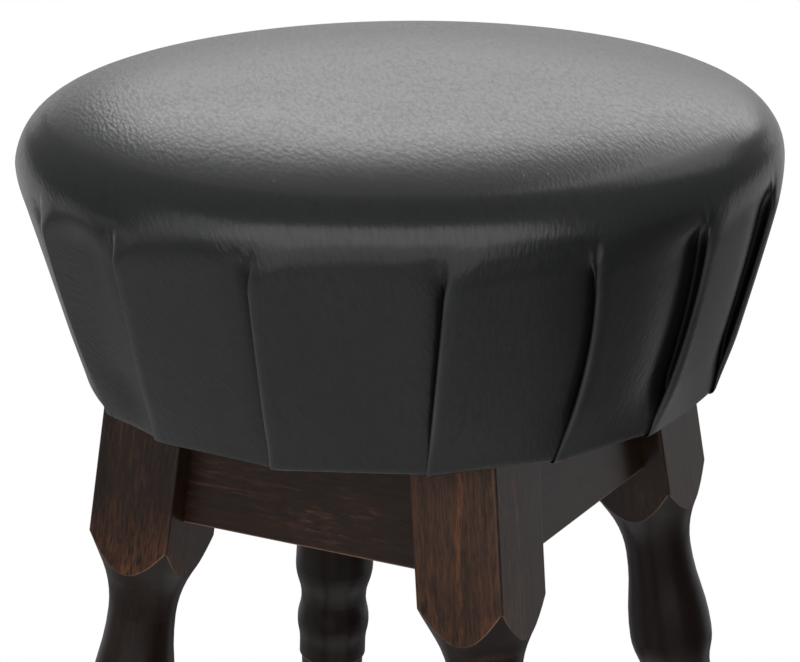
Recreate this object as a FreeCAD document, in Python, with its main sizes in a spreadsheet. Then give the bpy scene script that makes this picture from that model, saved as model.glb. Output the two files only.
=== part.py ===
import FreeCAD, Part
import math
import os

import Sketcher

# A turned-leg bar stool: a deep round pleated seat on four splayed legs with rails and foot rails.
# Millimetres, +Z up, origin on the floor under the middle of the seat, front towards -Y.

# Driving dimensions: name, value, meaning
DIMENSIONS = [
    ("seat_height", 760, "floor to the middle of the crown"),
    ("seat_diameter", 360, "across the rim at its widest line"),
    ("rim_height", 107, "underside of the seat to the widest line"),
    ("rim_rounding", 25, "radius of the rim"),
    ("crown_rise", 6, "rise of the top above the rim"),
    ("side_taper", 15.2, "lean of the sides, degrees"),
    ("cover_thickness", 1.2, "vinyl and its backing"),
    ("hem_rounding", 3, "outer radius where the cover turns under"),
    ("hem_width", 26, "cover turned under the board"),
    ("pleat_count", 15, "knife pleats round the side"),
    ("pleat_phase", -58.8, "direction of one fold, degrees from +X"),
    ("pleat_height", 96, "top of the folds above the underside"),
    ("pleat_lift", 4.2, "how far a fold stands off at the bottom"),
    ("pleat_bend", 62, "level above the underside where a fold is already full"),
    ("pleat_bend_lift", 3, "how far a fold stands off at that level"),
    ("pleat_gap", 3, "plain strip before the next fold, degrees"),
    ("pleat_root", 0.7, "how deep the back of a fold lies in the cover"),
    ("edge_padding", 5, "foam between the board's edge and the cover"),
    ("board_thickness", 18, "plywood disc"),
    ("leg_section", 44, "square stock of the legs"),
    ("leg_inset", 6.2, "outer edge of a leg inside the lower edge of the seat"),
    ("leg_splay", 6.4, "lean of each leg along X and along Y, degrees"),
    ("arris_rounding", 1.5, "softened long edges of the leg blocks"),
    ("upper_block", 71, "top of the leg to the end of the square arris"),
    ("shoulder_angle", 27.5, "slope where the square runs into the round, degrees"),
    ("shoulder_sweep", 54, "radius of the hollow under a shoulder"),
    ("neck_diameter", 32.6, "narrowest place under the upper block"),
    ("vase_length", 47.5, "neck to the fullest place of the vase"),
    ("vase_diameter", 41.6, "fullest place of the vase"),
    ("cove_length", 20.5, "vase to the hollow under it"),
    ("cove_diameter", 34.8, "hollow over the bead"),
    ("bead_rise", 14.5, "hollow to the fullest place of the bead"),
    ("bead_diameter", 38.5, "fullest place of the bead"),
    ("bead_fall", 13, "bead to the band under it"),
    ("band_diameter", 35.6, "plain band under the bead"),
    ("band_width", 8, "length of the plain band"),
    ("column_top_diameter", 33.2, "column under the band"),
    ("column_neck_length", 21, "band to the narrowest place of the column"),
    ("column_neck_diameter", 31.6, "narrowest place of the column"),
    ("pear_rise", 48.9, "narrowest to the fullest place of the column"),
    ("pear_diameter", 41.2, "fullest place of the column"),
    ("pear_fall", 16, "fullest place to the hollow over the lower block"),
    ("lower_cove_diameter", 35, "hollow over the lower block"),
    ("lower_sweep", 20, "radius of the hollow over the lower block"),
    ("lower_block", 77, "square arris of the lower block, end to end"),
    ("foot_neck_diameter", 32, "narrowest place under the lower block"),
    ("foot_vase_length", 34, "foot neck to the fullest place below it"),
    ("foot_vase_diameter", 39, "fullest place of the foot"),
    ("foot_taper", 97.4, "fullest place of the foot to the ankle"),
    ("ankle_diameter", 25, "narrowest place of the foot"),
    ("bun_rise", 24, "ankle to the fullest place of the bun"),
    ("bun_height", 17, "fullest place of the bun to the foot's end"),
    ("bun_diameter", 34, "fullest place of the bun"),
    ("sole_diameter", 28, "end of the foot"),
    ("rail_height", 60, "depth of the apron rails"),
    ("rail_thickness", 20, "apron rails"),
    ("footrest_drop", 505, "middle of the crown to the middle of the foot rails"),
    ("stretcher_height", 40, "depth of the foot rails"),
    ("stretcher_thickness", 22, "foot rails"),
    ("stretcher_easing", 3, "rounded long edges of the foot rails"),
    ("dowel_diameter", 8, "dowels in the rail ends"),
    ("dowel_length", 30, "half in the leg and half in the rail"),
    ("dowel_clearance", 0.05, "glue gap round a dowel"),
    ("dowel_end_gap", 1, "room left at each end of a dowel"),
    ("rail_dowel_gap", 30, "dowel to dowel in a rail end"),
    ("stretcher_dowel_gap", 18, "dowel to dowel in a foot rail end"),
    ("block_height", 25, "corner blocks"),
    ("block_gap", 20.6, "corner block to corner block along a rail"),
    ("block_clearance", 2, "corner block to the leg's inner edge"),
    ("screw_diameter", 4, "shank of the wood screws"),
    ("screw_head", 8, "countersunk head"),
    ("screw_head_height", 2.4, "countersunk head"),
    ("seat_screw_bite", 13, "length of a seat screw in the board"),
    ("block_screw_rest", 5.5, "wood left in the rail past the point of a corner block screw"),
    ("block_screw_inset", 5, "head sunk below the corner block's long face"),
    ("glide_height", 5, "nail-in glides under the feet"),
    ("glide_diameter", 22, "glides"),
    ("glide_sole", 18, "flat that meets the floor"),
    ("glide_bevel", 2, "height of the bevel round the flat"),
    ("nail_diameter", 2.5, "nail of a glide"),
    ("nail_length", 16, "nail of a glide"),
    ("trim_allowance", 10, "spare length cut away level with the seat and floor"),
]

CORNERS = ["front_right", "rear_right", "rear_left", "front_left"]
SIDES = ["front", "right", "rear", "left"]
QUARTER_TURN = 90
TOLERANCE = 1e-6
UP = FreeCAD.Vector(0, 0, 1)
ALONG_X = FreeCAD.Vector(1, 0, 0)
ALONG_Y = FreeCAD.Vector(0, 1, 0)
START, END, CENTRE = range(1, 4)
H_AXIS, V_AXIS = range(-1, -3, -1)
ORIGIN = (-1, 1)

# Sizes that several pieces share, worked out from the driving dimensions
UNDERSIDE = "(Dims.seat_height - Dims.crown_rise - Dims.rim_rounding - Dims.rim_height)"
SEAT_DEPTH = "(Dims.crown_rise + Dims.rim_rounding + Dims.rim_height)"
RIM_CENTRE = "(Dims.seat_diameter / 2 - Dims.rim_rounding)"
SIDE_FOOT = ("(Dims.seat_diameter / 2 - Dims.rim_rounding + Dims.rim_rounding / cos(Dims.side_taper)"
             " - Dims.rim_height * tan(Dims.side_taper))")
BOARD_RADIUS = f"({SIDE_FOOT} - Dims.cover_thickness / cos(Dims.side_taper) - Dims.edge_padding)"
PLEAT_LAP = "(360 / Dims.pleat_count - Dims.pleat_gap)"
LEG_SPACING = f"(({SIDE_FOOT} - Dims.leg_inset) * sqrt(2) - Dims.leg_section)"
LEG_OFFSET = f"({LEG_SPACING} / 2)"
SLOPE = "tan(Dims.leg_splay)"
LEG_STRETCH = f"sqrt(1 + 2 * {SLOPE} ^ 2)"
LEG_LENGTH = f"(({UNDERSIDE} - Dims.glide_height) * {LEG_STRETCH})"
FOOTREST_DROP = f"(Dims.footrest_drop - {SEAT_DEPTH})"
STRETCHER_DROP = f"({FOOTREST_DROP} * {LEG_STRETCH})"
TURNING_ENVELOPE = "Dims.leg_section"
ARRIS_RADIUS = "(Dims.leg_section / sqrt(2))"
SHOULDER_RUN = f"(({TURNING_ENVELOPE} - {ARRIS_RADIUS}) / tan(Dims.shoulder_angle))"
SLAB_SPAN = "(4 * Dims.seat_diameter)"
UPPER_STEPS = ["vase_length", "cove_length", "bead_rise", "bead_fall",
               "band_width", "column_neck_length", "pear_rise", "pear_fall"]
FOOT_STEPS = ["foot_vase_length", "foot_taper", "bun_rise", "bun_height"]
DOWEL_HOLE = "(Dims.dowel_diameter / 2 + Dims.dowel_clearance)"
DOWEL_DEPTH = "(Dims.dowel_length / 2 + Dims.dowel_end_gap)"
RAIL_DOWELS = ["(Dims.rail_height / 2 - Dims.rail_dowel_gap / 2)",
               "(Dims.rail_height / 2 + Dims.rail_dowel_gap / 2)"]
STRETCHER_DOWELS = [f"({STRETCHER_DROP} - Dims.stretcher_dowel_gap / 2)",
                    f"({STRETCHER_DROP} + Dims.stretcher_dowel_gap / 2)"]


def write_sheet(document):
    """Put the driving dimensions into the sheet, one alias each."""
    sheet = document.addObject("Spreadsheet::Sheet", "Dims")
    for row, (name, amount, meaning) in enumerate(DIMENSIONS, start=1):
        sheet.set(f"A{row}", name)
        sheet.set(f"B{row}", str(amount))
        sheet.set(f"C{row}", meaning)
        sheet.setAlias(f"B{row}", name)
    document.recompute()
    return sheet


def value(expression):
    """The present value of an expression, as a plain number."""
    result = dims.evalExpression(expression)
    return float(getattr(result, "Value", result))


def size(name):
    """The present value of one driving dimension."""
    return float(dims.get(name))


def quarter(turns):
    """A turn of the whole stool about its upright axis, in quarters."""
    return FreeCAD.Placement(FreeCAD.Vector(), FreeCAD.Rotation(UP, QUARTER_TURN * turns))


def move(x, y, z, axis=UP, angle=0):
    """A placement from a shift and a turn."""
    return FreeCAD.Placement(FreeCAD.Vector(x, y, z), FreeCAD.Rotation(axis, angle))


def bind(thing, **sizes):
    """Tie properties of an object to expressions."""
    for name, expression in sizes.items():
        thing.setExpression(name, expression)
    return thing


# Sketches

def new_sketch(body, name, role="XY_Plane", offset=None):
    """A sketch on one of a body's own origin planes, shifted along the plane's normal."""
    sketch = body.newObject("Sketcher::SketchObject", name)
    plane = next(item for item in body.Origin.OriginFeatures if item.Role == role)
    sketch.AttachmentSupport = [(plane, "")]
    sketch.MapMode = "FlatFace"
    if offset:
        sketch.setExpression("AttachmentOffset.Base.z", offset)
    return sketch


def constrain(sketch, expression, kind, *where):
    """Add a driving constraint whose size follows an expression."""
    amount = value(expression)
    if kind == "Angle":
        amount = math.radians(amount)
    index = sketch.addConstraint(Sketcher.Constraint(kind, *where, amount))
    sketch.setExpression(f"Constraints[{index}]", expression)


def relate(sketch, kind, *where):
    """Add a constraint that has no size."""
    sketch.addConstraint(Sketcher.Constraint(kind, *where))


class Outline:
    """A closed chain of lines and arcs in a sketch, each piece joined to the one before."""

    def __init__(self, sketch, start):
        self.sketch = sketch
        self.here = FreeCAD.Vector(start[0], start[1], 0)
        self.pieces = []

    def add(self, geometry, first, last, join):
        """Add a piece; return its index and its two ends in the order of drawing."""
        index = self.sketch.addGeometry(geometry)
        if self.pieces:
            before, _, end = self.pieces[-1]
            relate(self.sketch, join, before, end, index, first)
        self.pieces.append((index, first, last))
        return self.pieces[-1]

    def line(self, x, y, join="Coincident"):
        target = FreeCAD.Vector(x, y, 0)
        piece = self.add(Part.LineSegment(self.here, target), START, END, join)
        self.here = target
        return piece

    def arc(self, x, y, centre, join="Tangent"):
        """The shorter arc about a centre, either way round."""
        middle = FreeCAD.Vector(centre[0], centre[1], 0)
        target = FreeCAD.Vector(x, y, 0)
        spoke, last_spoke = self.here - middle, target - middle
        first_angle = math.atan2(spoke.y, spoke.x)
        last_angle = math.atan2(last_spoke.y, last_spoke.x)
        circle = Part.Circle(middle, UP, spoke.Length)
        if spoke.cross(last_spoke).z > 0:
            piece = self.add(Part.ArcOfCircle(circle, first_angle, last_angle), START, END, join)
        else:
            piece = self.add(Part.ArcOfCircle(circle, last_angle, first_angle), END, START, join)
        self.here = target
        return piece

    def close(self):
        """Draw the last line back to the first point."""
        index, first, _ = self.pieces[0]
        begin = self.sketch.getPoint(index, first)
        piece = self.line(begin.x, begin.y)
        relate(self.sketch, "Coincident", piece[0], piece[2], index, first)


class Turning(Outline):
    """The outline cut away on the lathe: x is the radius, y the drop from the top of the leg."""

    def __init__(self, sketch, start, scale):
        super().__init__(sketch, start)
        self.scale = scale

    def shoulder(self, start, diameter):
        """The slope out of a square block and the hollow that ends in a neck."""
        slope = math.radians(size("shoulder_angle"))
        sweep = size("shoulder_sweep")
        neck = size(diameter) / 2
        foot_radius = neck + sweep * (1 - math.cos(slope))
        foot_drop = self.here.y + (self.here.x - foot_radius) / math.tan(slope)
        neck_drop = foot_drop + sweep * math.sin(slope)
        line = self.line(foot_radius, foot_drop)
        arc = self.arc(neck, neck_drop, (neck + sweep, neck_drop))
        constrain(self.sketch, TURNING_ENVELOPE, "DistanceX", line[0], line[1])
        constrain(self.sketch, start, "DistanceY", line[0], line[1])
        constrain(self.sketch, "90 + Dims.shoulder_angle", "Angle", line[0])
        constrain(self.sketch, "Dims.shoulder_sweep", "Radius", arc[0])
        constrain(self.sketch, f"Dims.{diameter} / 2", "DistanceX", arc[0], arc[2])
        relate(self.sketch, "Horizontal", arc[0], CENTRE, arc[0], arc[2])

    def rising_shoulder(self, finish):
        """The hollow and the slope that run out into the square block below."""
        slope = math.radians(size("shoulder_angle"))
        sweep = size("lower_sweep")
        cove = FreeCAD.Vector(self.here)
        foot_radius = cove.x + sweep * (1 - math.cos(slope))
        foot_drop = cove.y + sweep * math.sin(slope)
        arc = self.arc(foot_radius, foot_drop, (cove.x + sweep, cove.y), "Coincident")
        line = self.line(value(TURNING_ENVELOPE), value(finish), "Tangent")
        relate(self.sketch, "Horizontal", arc[0], CENTRE, arc[0], arc[1])
        constrain(self.sketch, "Dims.lower_sweep", "Radius", arc[0])
        constrain(self.sketch, "90 - Dims.shoulder_angle", "Angle", line[0])
        constrain(self.sketch, TURNING_ENVELOPE, "DistanceX", line[0], line[2])
        constrain(self.sketch, finish, "DistanceY", line[0], line[2])

    def ogee(self, diameter, step, held=True):
        """A double curve from one swell or hollow to the next, upright at both ends."""
        begin = FreeCAD.Vector(self.here)
        length = f"Dims.{step} * {self.scale}"
        radius, drop = size(diameter) / 2, begin.y + value(length)
        rise, run = radius - begin.x, drop - begin.y
        bend = math.copysign((rise ** 2 + run ** 2) / (4 * abs(rise)), rise)
        halfway = (begin.x + radius) / 2, (begin.y + drop) / 2
        first = self.arc(*halfway, (begin.x + bend, begin.y), "Coincident")
        second = self.arc(radius, drop, (radius - bend, drop))
        relate(self.sketch, "Equal", first[0], second[0])
        relate(self.sketch, "Horizontal", first[0], CENTRE, first[0], first[1])
        relate(self.sketch, "Horizontal", second[0], CENTRE, second[0], second[2])
        constrain(self.sketch, f"Dims.{diameter} / 2", "DistanceX", second[0], second[2])
        if held:
            constrain(self.sketch, length, "DistanceY", first[0], first[1], second[0], second[2])

    def band(self, diameter, step):
        """A plain cylinder, then a square step in to a smaller diameter."""
        length = f"Dims.{step} * {self.scale}"
        along = self.line(self.here.x, self.here.y + value(length))
        relate(self.sketch, "Vertical", along[0])
        constrain(self.sketch, length, "DistanceY", along[0], along[1], along[0], along[2])
        inward = self.line(size(diameter) / 2, self.here.y)
        relate(self.sketch, "Horizontal", inward[0])
        constrain(self.sketch, f"Dims.{diameter} / 2", "DistanceX", inward[0], inward[2])


# Legs

def leg_placement(corner):
    """Where a leg stands: its own Z runs down its axis from the level of the seat's underside."""
    offset = value(LEG_OFFSET)
    lean = math.degrees(math.atan(math.sqrt(2) * value(SLOPE)))
    upside_down = FreeCAD.Rotation(ALONG_X, 180)
    tilt = FreeCAD.Rotation(FreeCAD.Vector(-1, -1, 0), lean)
    top = FreeCAD.Vector(offset, -offset, value(UNDERSIDE))
    return quarter(corner) * FreeCAD.Placement(top, tilt * upside_down)


def shoulder_drop(diameter, sweep):
    """The drop from the end of a square arris to the narrow end of the hollow beside it."""
    hollow = f"(Dims.{diameter} / 2 + Dims.{sweep} * (1 - cos(Dims.shoulder_angle)))"
    slope = f"({ARRIS_RADIUS} - {hollow}) / tan(Dims.shoulder_angle)"
    return f"({slope} + Dims.{sweep} * sin(Dims.shoulder_angle))"


def pattern_scale(begin, finish, steps):
    """How far a turner's pattern, laid out in steps, is stretched to fill the drop between two places."""
    pattern = " + ".join(f"Dims.{step}" for step in steps)
    return f"(({finish} - {begin}) / ({pattern}))"


def upper_turning(body):
    """The vase, bead and column between the two square blocks."""
    start = f"(Dims.upper_block - {SHOULDER_RUN})"
    finish = f"({STRETCHER_DROP} - Dims.lower_block / 2 + {SHOULDER_RUN})"
    neck = f"(Dims.upper_block + {shoulder_drop('neck_diameter', 'shoulder_sweep')})"
    cove = f"({finish} - {SHOULDER_RUN} - {shoulder_drop('lower_cove_diameter', 'lower_sweep')})"
    sketch = new_sketch(body, "upper_profile", "XZ_Plane")
    scale = pattern_scale(neck, cove, UPPER_STEPS)
    turning = Turning(sketch, (value(TURNING_ENVELOPE), value(start)), scale)
    turning.shoulder(start, "neck_diameter")
    turning.ogee("vase_diameter", "vase_length")
    turning.ogee("cove_diameter", "cove_length")
    turning.ogee("bead_diameter", "bead_rise")
    turning.ogee("band_diameter", "bead_fall")
    turning.band("column_top_diameter", "band_width")
    turning.ogee("column_neck_diameter", "column_neck_length")
    turning.ogee("pear_diameter", "pear_rise", held=False)
    turning.ogee("lower_cove_diameter", "pear_fall")
    turning.rising_shoulder(finish)
    turning.close()
    return sketch


def foot_turning(body):
    """The foot under the lower block: neck, vase, long taper, ankle and bun."""
    start = f"({STRETCHER_DROP} + Dims.lower_block / 2 - {SHOULDER_RUN})"
    neck = f"({start} + {SHOULDER_RUN} + {shoulder_drop('foot_neck_diameter', 'shoulder_sweep')})"
    sketch = new_sketch(body, "foot_profile", "XZ_Plane")
    scale = pattern_scale(neck, LEG_LENGTH, FOOT_STEPS)
    turning = Turning(sketch, (value(TURNING_ENVELOPE), value(start)), scale)
    turning.shoulder(start, "foot_neck_diameter")
    turning.ogee("foot_vase_diameter", "foot_vase_length")
    turning.ogee("ankle_diameter", "foot_taper", held=False)
    turning.ogee("bun_diameter", "bun_rise")
    turning.ogee("sole_diameter", "bun_height")
    sole, _, sole_end = turning.pieces[-1]
    constrain(sketch, LEG_LENGTH, "DistanceY", sole, sole_end)
    spare = turning.line(turning.here.x, turning.here.y + size("trim_allowance"))
    relate(sketch, "Vertical", spare[0])
    constrain(sketch, "Dims.trim_allowance", "DistanceY", spare[0], START, spare[0], END)
    edge = turning.line(value(TURNING_ENVELOPE), turning.here.y)
    relate(sketch, "Horizontal", edge[0])
    constrain(sketch, TURNING_ENVELOPE, "DistanceX", edge[0], END)
    turning.close()
    return sketch


def square_sketch(sketch, side):
    """A square about the sketch's origin."""
    half = value(side) / 2
    outline = Outline(sketch, (-half, -half))
    bottom = outline.line(half, -half)
    right = outline.line(half, half)
    top = outline.line(-half, half)
    outline.close()
    relate(sketch, "Horizontal", bottom[0])
    relate(sketch, "Vertical", right[0])
    relate(sketch, "Horizontal", top[0])
    relate(sketch, "Symmetric", bottom[0], START, top[0], START, *ORIGIN)
    constrain(sketch, side, "DistanceX", bottom[0], START, bottom[0], END)
    constrain(sketch, side, "DistanceY", right[0], START, right[0], END)


def dowel_holes(body, name, role, offset):
    """Holes for the rail's and foot rail's dowels in one inner face of a leg."""
    sketch = new_sketch(body, name, role, offset)
    for drop in RAIL_DOWELS + STRETCHER_DOWELS:
        hole = sketch.addGeometry(Part.Circle(FreeCAD.Vector(0, value(drop), 0), UP, value(DOWEL_HOLE)))
        relate(sketch, "PointOnObject", hole, CENTRE, V_AXIS)
        constrain(sketch, drop, "DistanceY", hole, CENTRE)
        constrain(sketch, DOWEL_HOLE, "Radius", hole)
    return sketch


def make_leg_blank(corner):
    """One leg in its own frame: square stock, softened, turned in two places and drilled."""
    name = CORNERS[corner]
    body = doc.addObject("PartDesign::Body", f"leg_blank_{name}")
    section = new_sketch(body, "section", "XY_Plane", "-Dims.trim_allowance")
    square_sketch(section, "Dims.leg_section")
    stock = body.newObject("PartDesign::Pad", "stock")
    stock.Profile = section
    bind(stock, Length=f"{LEG_LENGTH} + 2 * Dims.trim_allowance")
    doc.recompute()
    softened = body.newObject("PartDesign::Fillet", "softened")
    long_edges = [f"Edge{number}" for number, edge in enumerate(stock.Shape.Edges, start=1)
                  if abs(edge.Length - stock.Length.Value) < TOLERANCE]
    softened.Base = (stock, long_edges)
    bind(softened, Radius="Dims.arris_rounding")
    for profile in (upper_turning(body), foot_turning(body)):
        groove = body.newObject("PartDesign::Groove", f"{profile.Name}_cut")
        groove.Profile = profile
        groove.ReferenceAxis = (profile, ["V_Axis"])
        groove.Angle = 360
    rail_face = dowel_holes(body, "holes_x", "YZ_Plane", "-Dims.leg_section / 2")
    other_face = dowel_holes(body, "holes_y", "XZ_Plane", "Dims.leg_section / 2")
    for profile, inward in ((rail_face, True), (other_face, False)):
        holes = body.newObject("PartDesign::Pocket", f"{profile.Name}_cut")
        holes.Profile = profile
        holes.Reversed = inward
        bind(holes, Length=DOWEL_DEPTH)
    body.Placement = leg_placement(corner)
    return body


def make_envelope(corner):
    """The square stock of a leg, to which the rails' shoulders are cut."""
    stock = doc.addObject("Part::Box", f"leg_envelope_{CORNERS[corner]}")
    bind(stock, Length="Dims.leg_section", Width="Dims.leg_section",
         Height=f"{LEG_LENGTH} + 2 * Dims.trim_allowance")
    half = size("leg_section") / 2
    stock.Placement = leg_placement(corner) * move(-half, -half, -size("trim_allowance"))
    return stock


def make_level_slab():
    """The space between the glides and the seat, which trims legs and rails level."""
    slab = doc.addObject("Part::Box", "level_slab")
    bind(slab, Length=SLAB_SPAN, Width=SLAB_SPAN, Height=f"{UNDERSIDE} - Dims.glide_height")
    reach = value(SLAB_SPAN) / 2
    slab.Placement = move(-reach, -reach, size("glide_height"))
    return slab


def make_leg(corner, blank, glide):
    """A leg trimmed level at both ends and drilled for the nail of its glide."""
    level = doc.addObject("Part::Common", f"leg_level_{CORNERS[corner]}")
    level.Base = blank
    level.Tool = level_slab
    leg = doc.addObject("Part::Cut", f"leg_{CORNERS[corner]}")
    leg.Base = level
    leg.Tool = glide
    return leg


# Glides

def make_glide(corner):
    """A bevelled glide with its nail, flat on the floor under the end of a leg."""
    name = CORNERS[corner]
    bevel = doc.addObject("Part::Cone", f"glide_bevel_{name}")
    bind(bevel, Radius1="Dims.glide_sole / 2", Radius2="Dims.glide_diameter / 2", Height="Dims.glide_bevel")
    disc = doc.addObject("Part::Cylinder", f"glide_disc_{name}")
    bind(disc, Radius="Dims.glide_diameter / 2", Height="Dims.glide_height - Dims.glide_bevel")
    nail = doc.addObject("Part::Cylinder", f"glide_nail_{name}")
    bind(nail, Radius="Dims.nail_diameter / 2", Height="Dims.nail_length")
    reach = value(f"{LEG_OFFSET} + {SLOPE} * ({UNDERSIDE} - Dims.glide_height)")
    for piece, level in ((bevel, 0), (disc, size("glide_bevel")), (nail, size("glide_height"))):
        piece.Placement = quarter(corner) * move(reach, -reach, level)
    glide = doc.addObject("Part::MultiFuse", f"glide_{name}")
    glide.Shapes = [bevel, disc, nail]
    glide.Refine = True
    return glide


# Rails and foot rails

def dowel_cylinder(name, corner, face_axis, drop, radius, half_length):
    """A cylinder square to an inner face of a leg, half in the leg and half out of it."""
    cylinder = doc.addObject("Part::Cylinder", name)
    bind(cylinder, Radius=radius, Height=f"2 * {half_length}")
    start = -size("leg_section") / 2 - value(half_length)
    if face_axis == "x":
        local = move(start, 0, value(drop), ALONG_Y, 90)
    else:
        local = move(0, start, value(drop), ALONG_X, -90)
    cylinder.Placement = leg_placement(corner) * local
    return cylinder


def rail_ends(side):
    """The two leg faces that a side's rails meet: corner and face axis."""
    return [((side + 3) % 4, "y"), (side, "x")]


def dowel_set(prefix, side, drops, radius, half_length):
    """The dowels, or their holes, at both ends of one rail."""
    cylinders = []
    for corner, face_axis in rail_ends(side):
        for place, drop in enumerate(drops, start=1):
            name = f"{prefix}_{SIDES[side]}_{CORNERS[corner]}_{place}"
            cylinders.append(dowel_cylinder(name, corner, face_axis, drop, radius, half_length))
    return cylinders


def group(name, members):
    """Several solids held as one object."""
    compound = doc.addObject("Part::Compound", name)
    compound.Links = members
    return compound


def lean_placement(side, drop):
    """The middle of a side's plane at a height under the seat: X along the rail, Z up the slope."""
    offset = value(f"{LEG_OFFSET} + {SLOPE} * ({drop})")
    level = value(f"{UNDERSIDE} - ({drop})")
    return quarter(side) * move(0, -offset, level, ALONG_X, -size("leg_splay"))


def make_rail(side, screws):
    """An apron rail: leaning with the legs, shouldered against them and planed level with their tops."""
    name = SIDES[side]
    blank = doc.addObject("Part::Box", f"rail_blank_{name}")
    length = f"({LEG_SPACING} + {SLOPE} * Dims.rail_height)"
    bind(blank, Length=length, Width="Dims.rail_thickness", Height="Dims.rail_height + Dims.trim_allowance")
    corner = move(-value(length) / 2, -size("rail_thickness") / 2, -size("rail_height"))
    blank.Placement = lean_placement(side, "0") * corner
    level = doc.addObject("Part::Common", f"rail_level_{name}")
    level.Base = blank
    level.Tool = level_slab
    holes = dowel_set("rail_hole", side, RAIL_DOWELS, DOWEL_HOLE, DOWEL_DEPTH)
    stocks = [envelopes[corner] for corner, _ in rail_ends(side)]
    rail = doc.addObject("Part::Cut", f"rail_{name}")
    rail.Base = level
    rail.Tool = group(f"rail_cuts_{name}", stocks + holes + screws)
    return rail


def make_stretcher(side):
    """A foot rail with rounded long edges, shouldered against the lower blocks."""
    name = SIDES[side]
    length = f"({LEG_SPACING} + 2 * {SLOPE} * {FOOTREST_DROP})"
    blank = doc.addObject("Part::Box", f"stretcher_blank_{name}")
    bind(blank, Length=length, Width="Dims.stretcher_thickness", Height="Dims.stretcher_height")
    corner = move(-value(length) / 2, -size("stretcher_thickness") / 2, -size("stretcher_height") / 2)
    blank.Placement = lean_placement(side, FOOTREST_DROP) * corner
    doc.recompute()
    eased = doc.addObject("Part::Fillet", f"stretcher_eased_{name}")
    eased.Base = blank
    easing = size("stretcher_easing")
    eased.Edges = [(number, easing, easing) for number, edge in enumerate(blank.Shape.Edges, start=1)
                   if abs(edge.Length - value(length)) < TOLERANCE]
    holes = dowel_set("stretcher_hole", side, STRETCHER_DOWELS, DOWEL_HOLE, DOWEL_DEPTH)
    stocks = [envelopes[corner] for corner, _ in rail_ends(side)]
    stretcher = doc.addObject("Part::Cut", f"stretcher_{name}")
    stretcher.Base = eased
    stretcher.Tool = group(f"stretcher_cuts_{name}", stocks + holes)
    return stretcher


# Corner blocks and screws

INNER_FACE = f"({LEG_OFFSET} - Dims.rail_thickness / 2 / cos(Dims.leg_splay))"
RAIL_FACE = (f"({LEG_OFFSET} + Dims.rail_thickness / 2 / cos(Dims.leg_splay)"
             f" + {SLOPE} * Dims.block_height / 2)")
BLOCK_OUTER = f"({LEG_SPACING} - Dims.leg_section - Dims.block_clearance * sqrt(2))"
BLOCK_INNER = f"({INNER_FACE} + Dims.block_gap / 2)"
BLOCK_DEPTH = f"(({BLOCK_OUTER} - {BLOCK_INNER}) / sqrt(2))"
BLOCK_SCREW_X = f"(({BLOCK_OUTER} + {BLOCK_INNER}) / 2 - {INNER_FACE})"
BLOCK_SCREW_HEAD = f"({BLOCK_INNER} - {BLOCK_SCREW_X} + Dims.block_screw_inset)"
BLOCK_SCREW_LENGTH = f"({RAIL_FACE} - Dims.block_screw_rest - {BLOCK_SCREW_HEAD})"


def make_screw(name, length, placement):
    """A countersunk wood screw, head at the placement's origin, point along its Z."""
    head = doc.addObject("Part::Cone", f"{name}_head")
    bind(head, Radius1="Dims.screw_head / 2", Radius2="Dims.screw_diameter / 2",
         Height="Dims.screw_head_height")
    shank = doc.addObject("Part::Cylinder", f"{name}_shank")
    bind(shank, Radius="Dims.screw_diameter / 2", Height=f"{length} - Dims.screw_head_height")
    head.Placement = placement
    shank.Placement = placement * move(0, 0, size("screw_head_height"))
    screw = doc.addObject("Part::Fuse", name)
    screw.Base = head
    screw.Tool = shank
    return screw


def make_seat_screw(corner):
    """A screw up through the corner block into the board."""
    middle = value(f"({BLOCK_OUTER} + {BLOCK_INNER}) / 4")
    start = value(f"{UNDERSIDE} - Dims.block_height")
    length = "(Dims.block_height + Dims.cover_thickness + Dims.seat_screw_bite)"
    spot = quarter(corner) * move(middle, -middle, start)
    return make_screw(f"seat_screw_{CORNERS[corner]}", length, spot)


def make_block_screws(corner):
    """Two screws from a corner block into the rails beside it."""
    across = value(BLOCK_SCREW_X)
    head = value(BLOCK_SCREW_HEAD)
    level = value(f"{UNDERSIDE} - Dims.block_height / 2")
    outward = [move(across, -head, level, ALONG_X, 90), move(head, -across, level, ALONG_Y, 90)]
    screws = []
    for place, spot in enumerate(outward, start=1):
        name = f"block_screw_{CORNERS[corner]}_{place}"
        screws.append(make_screw(name, BLOCK_SCREW_LENGTH, quarter(corner) * spot))
    return screws


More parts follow.
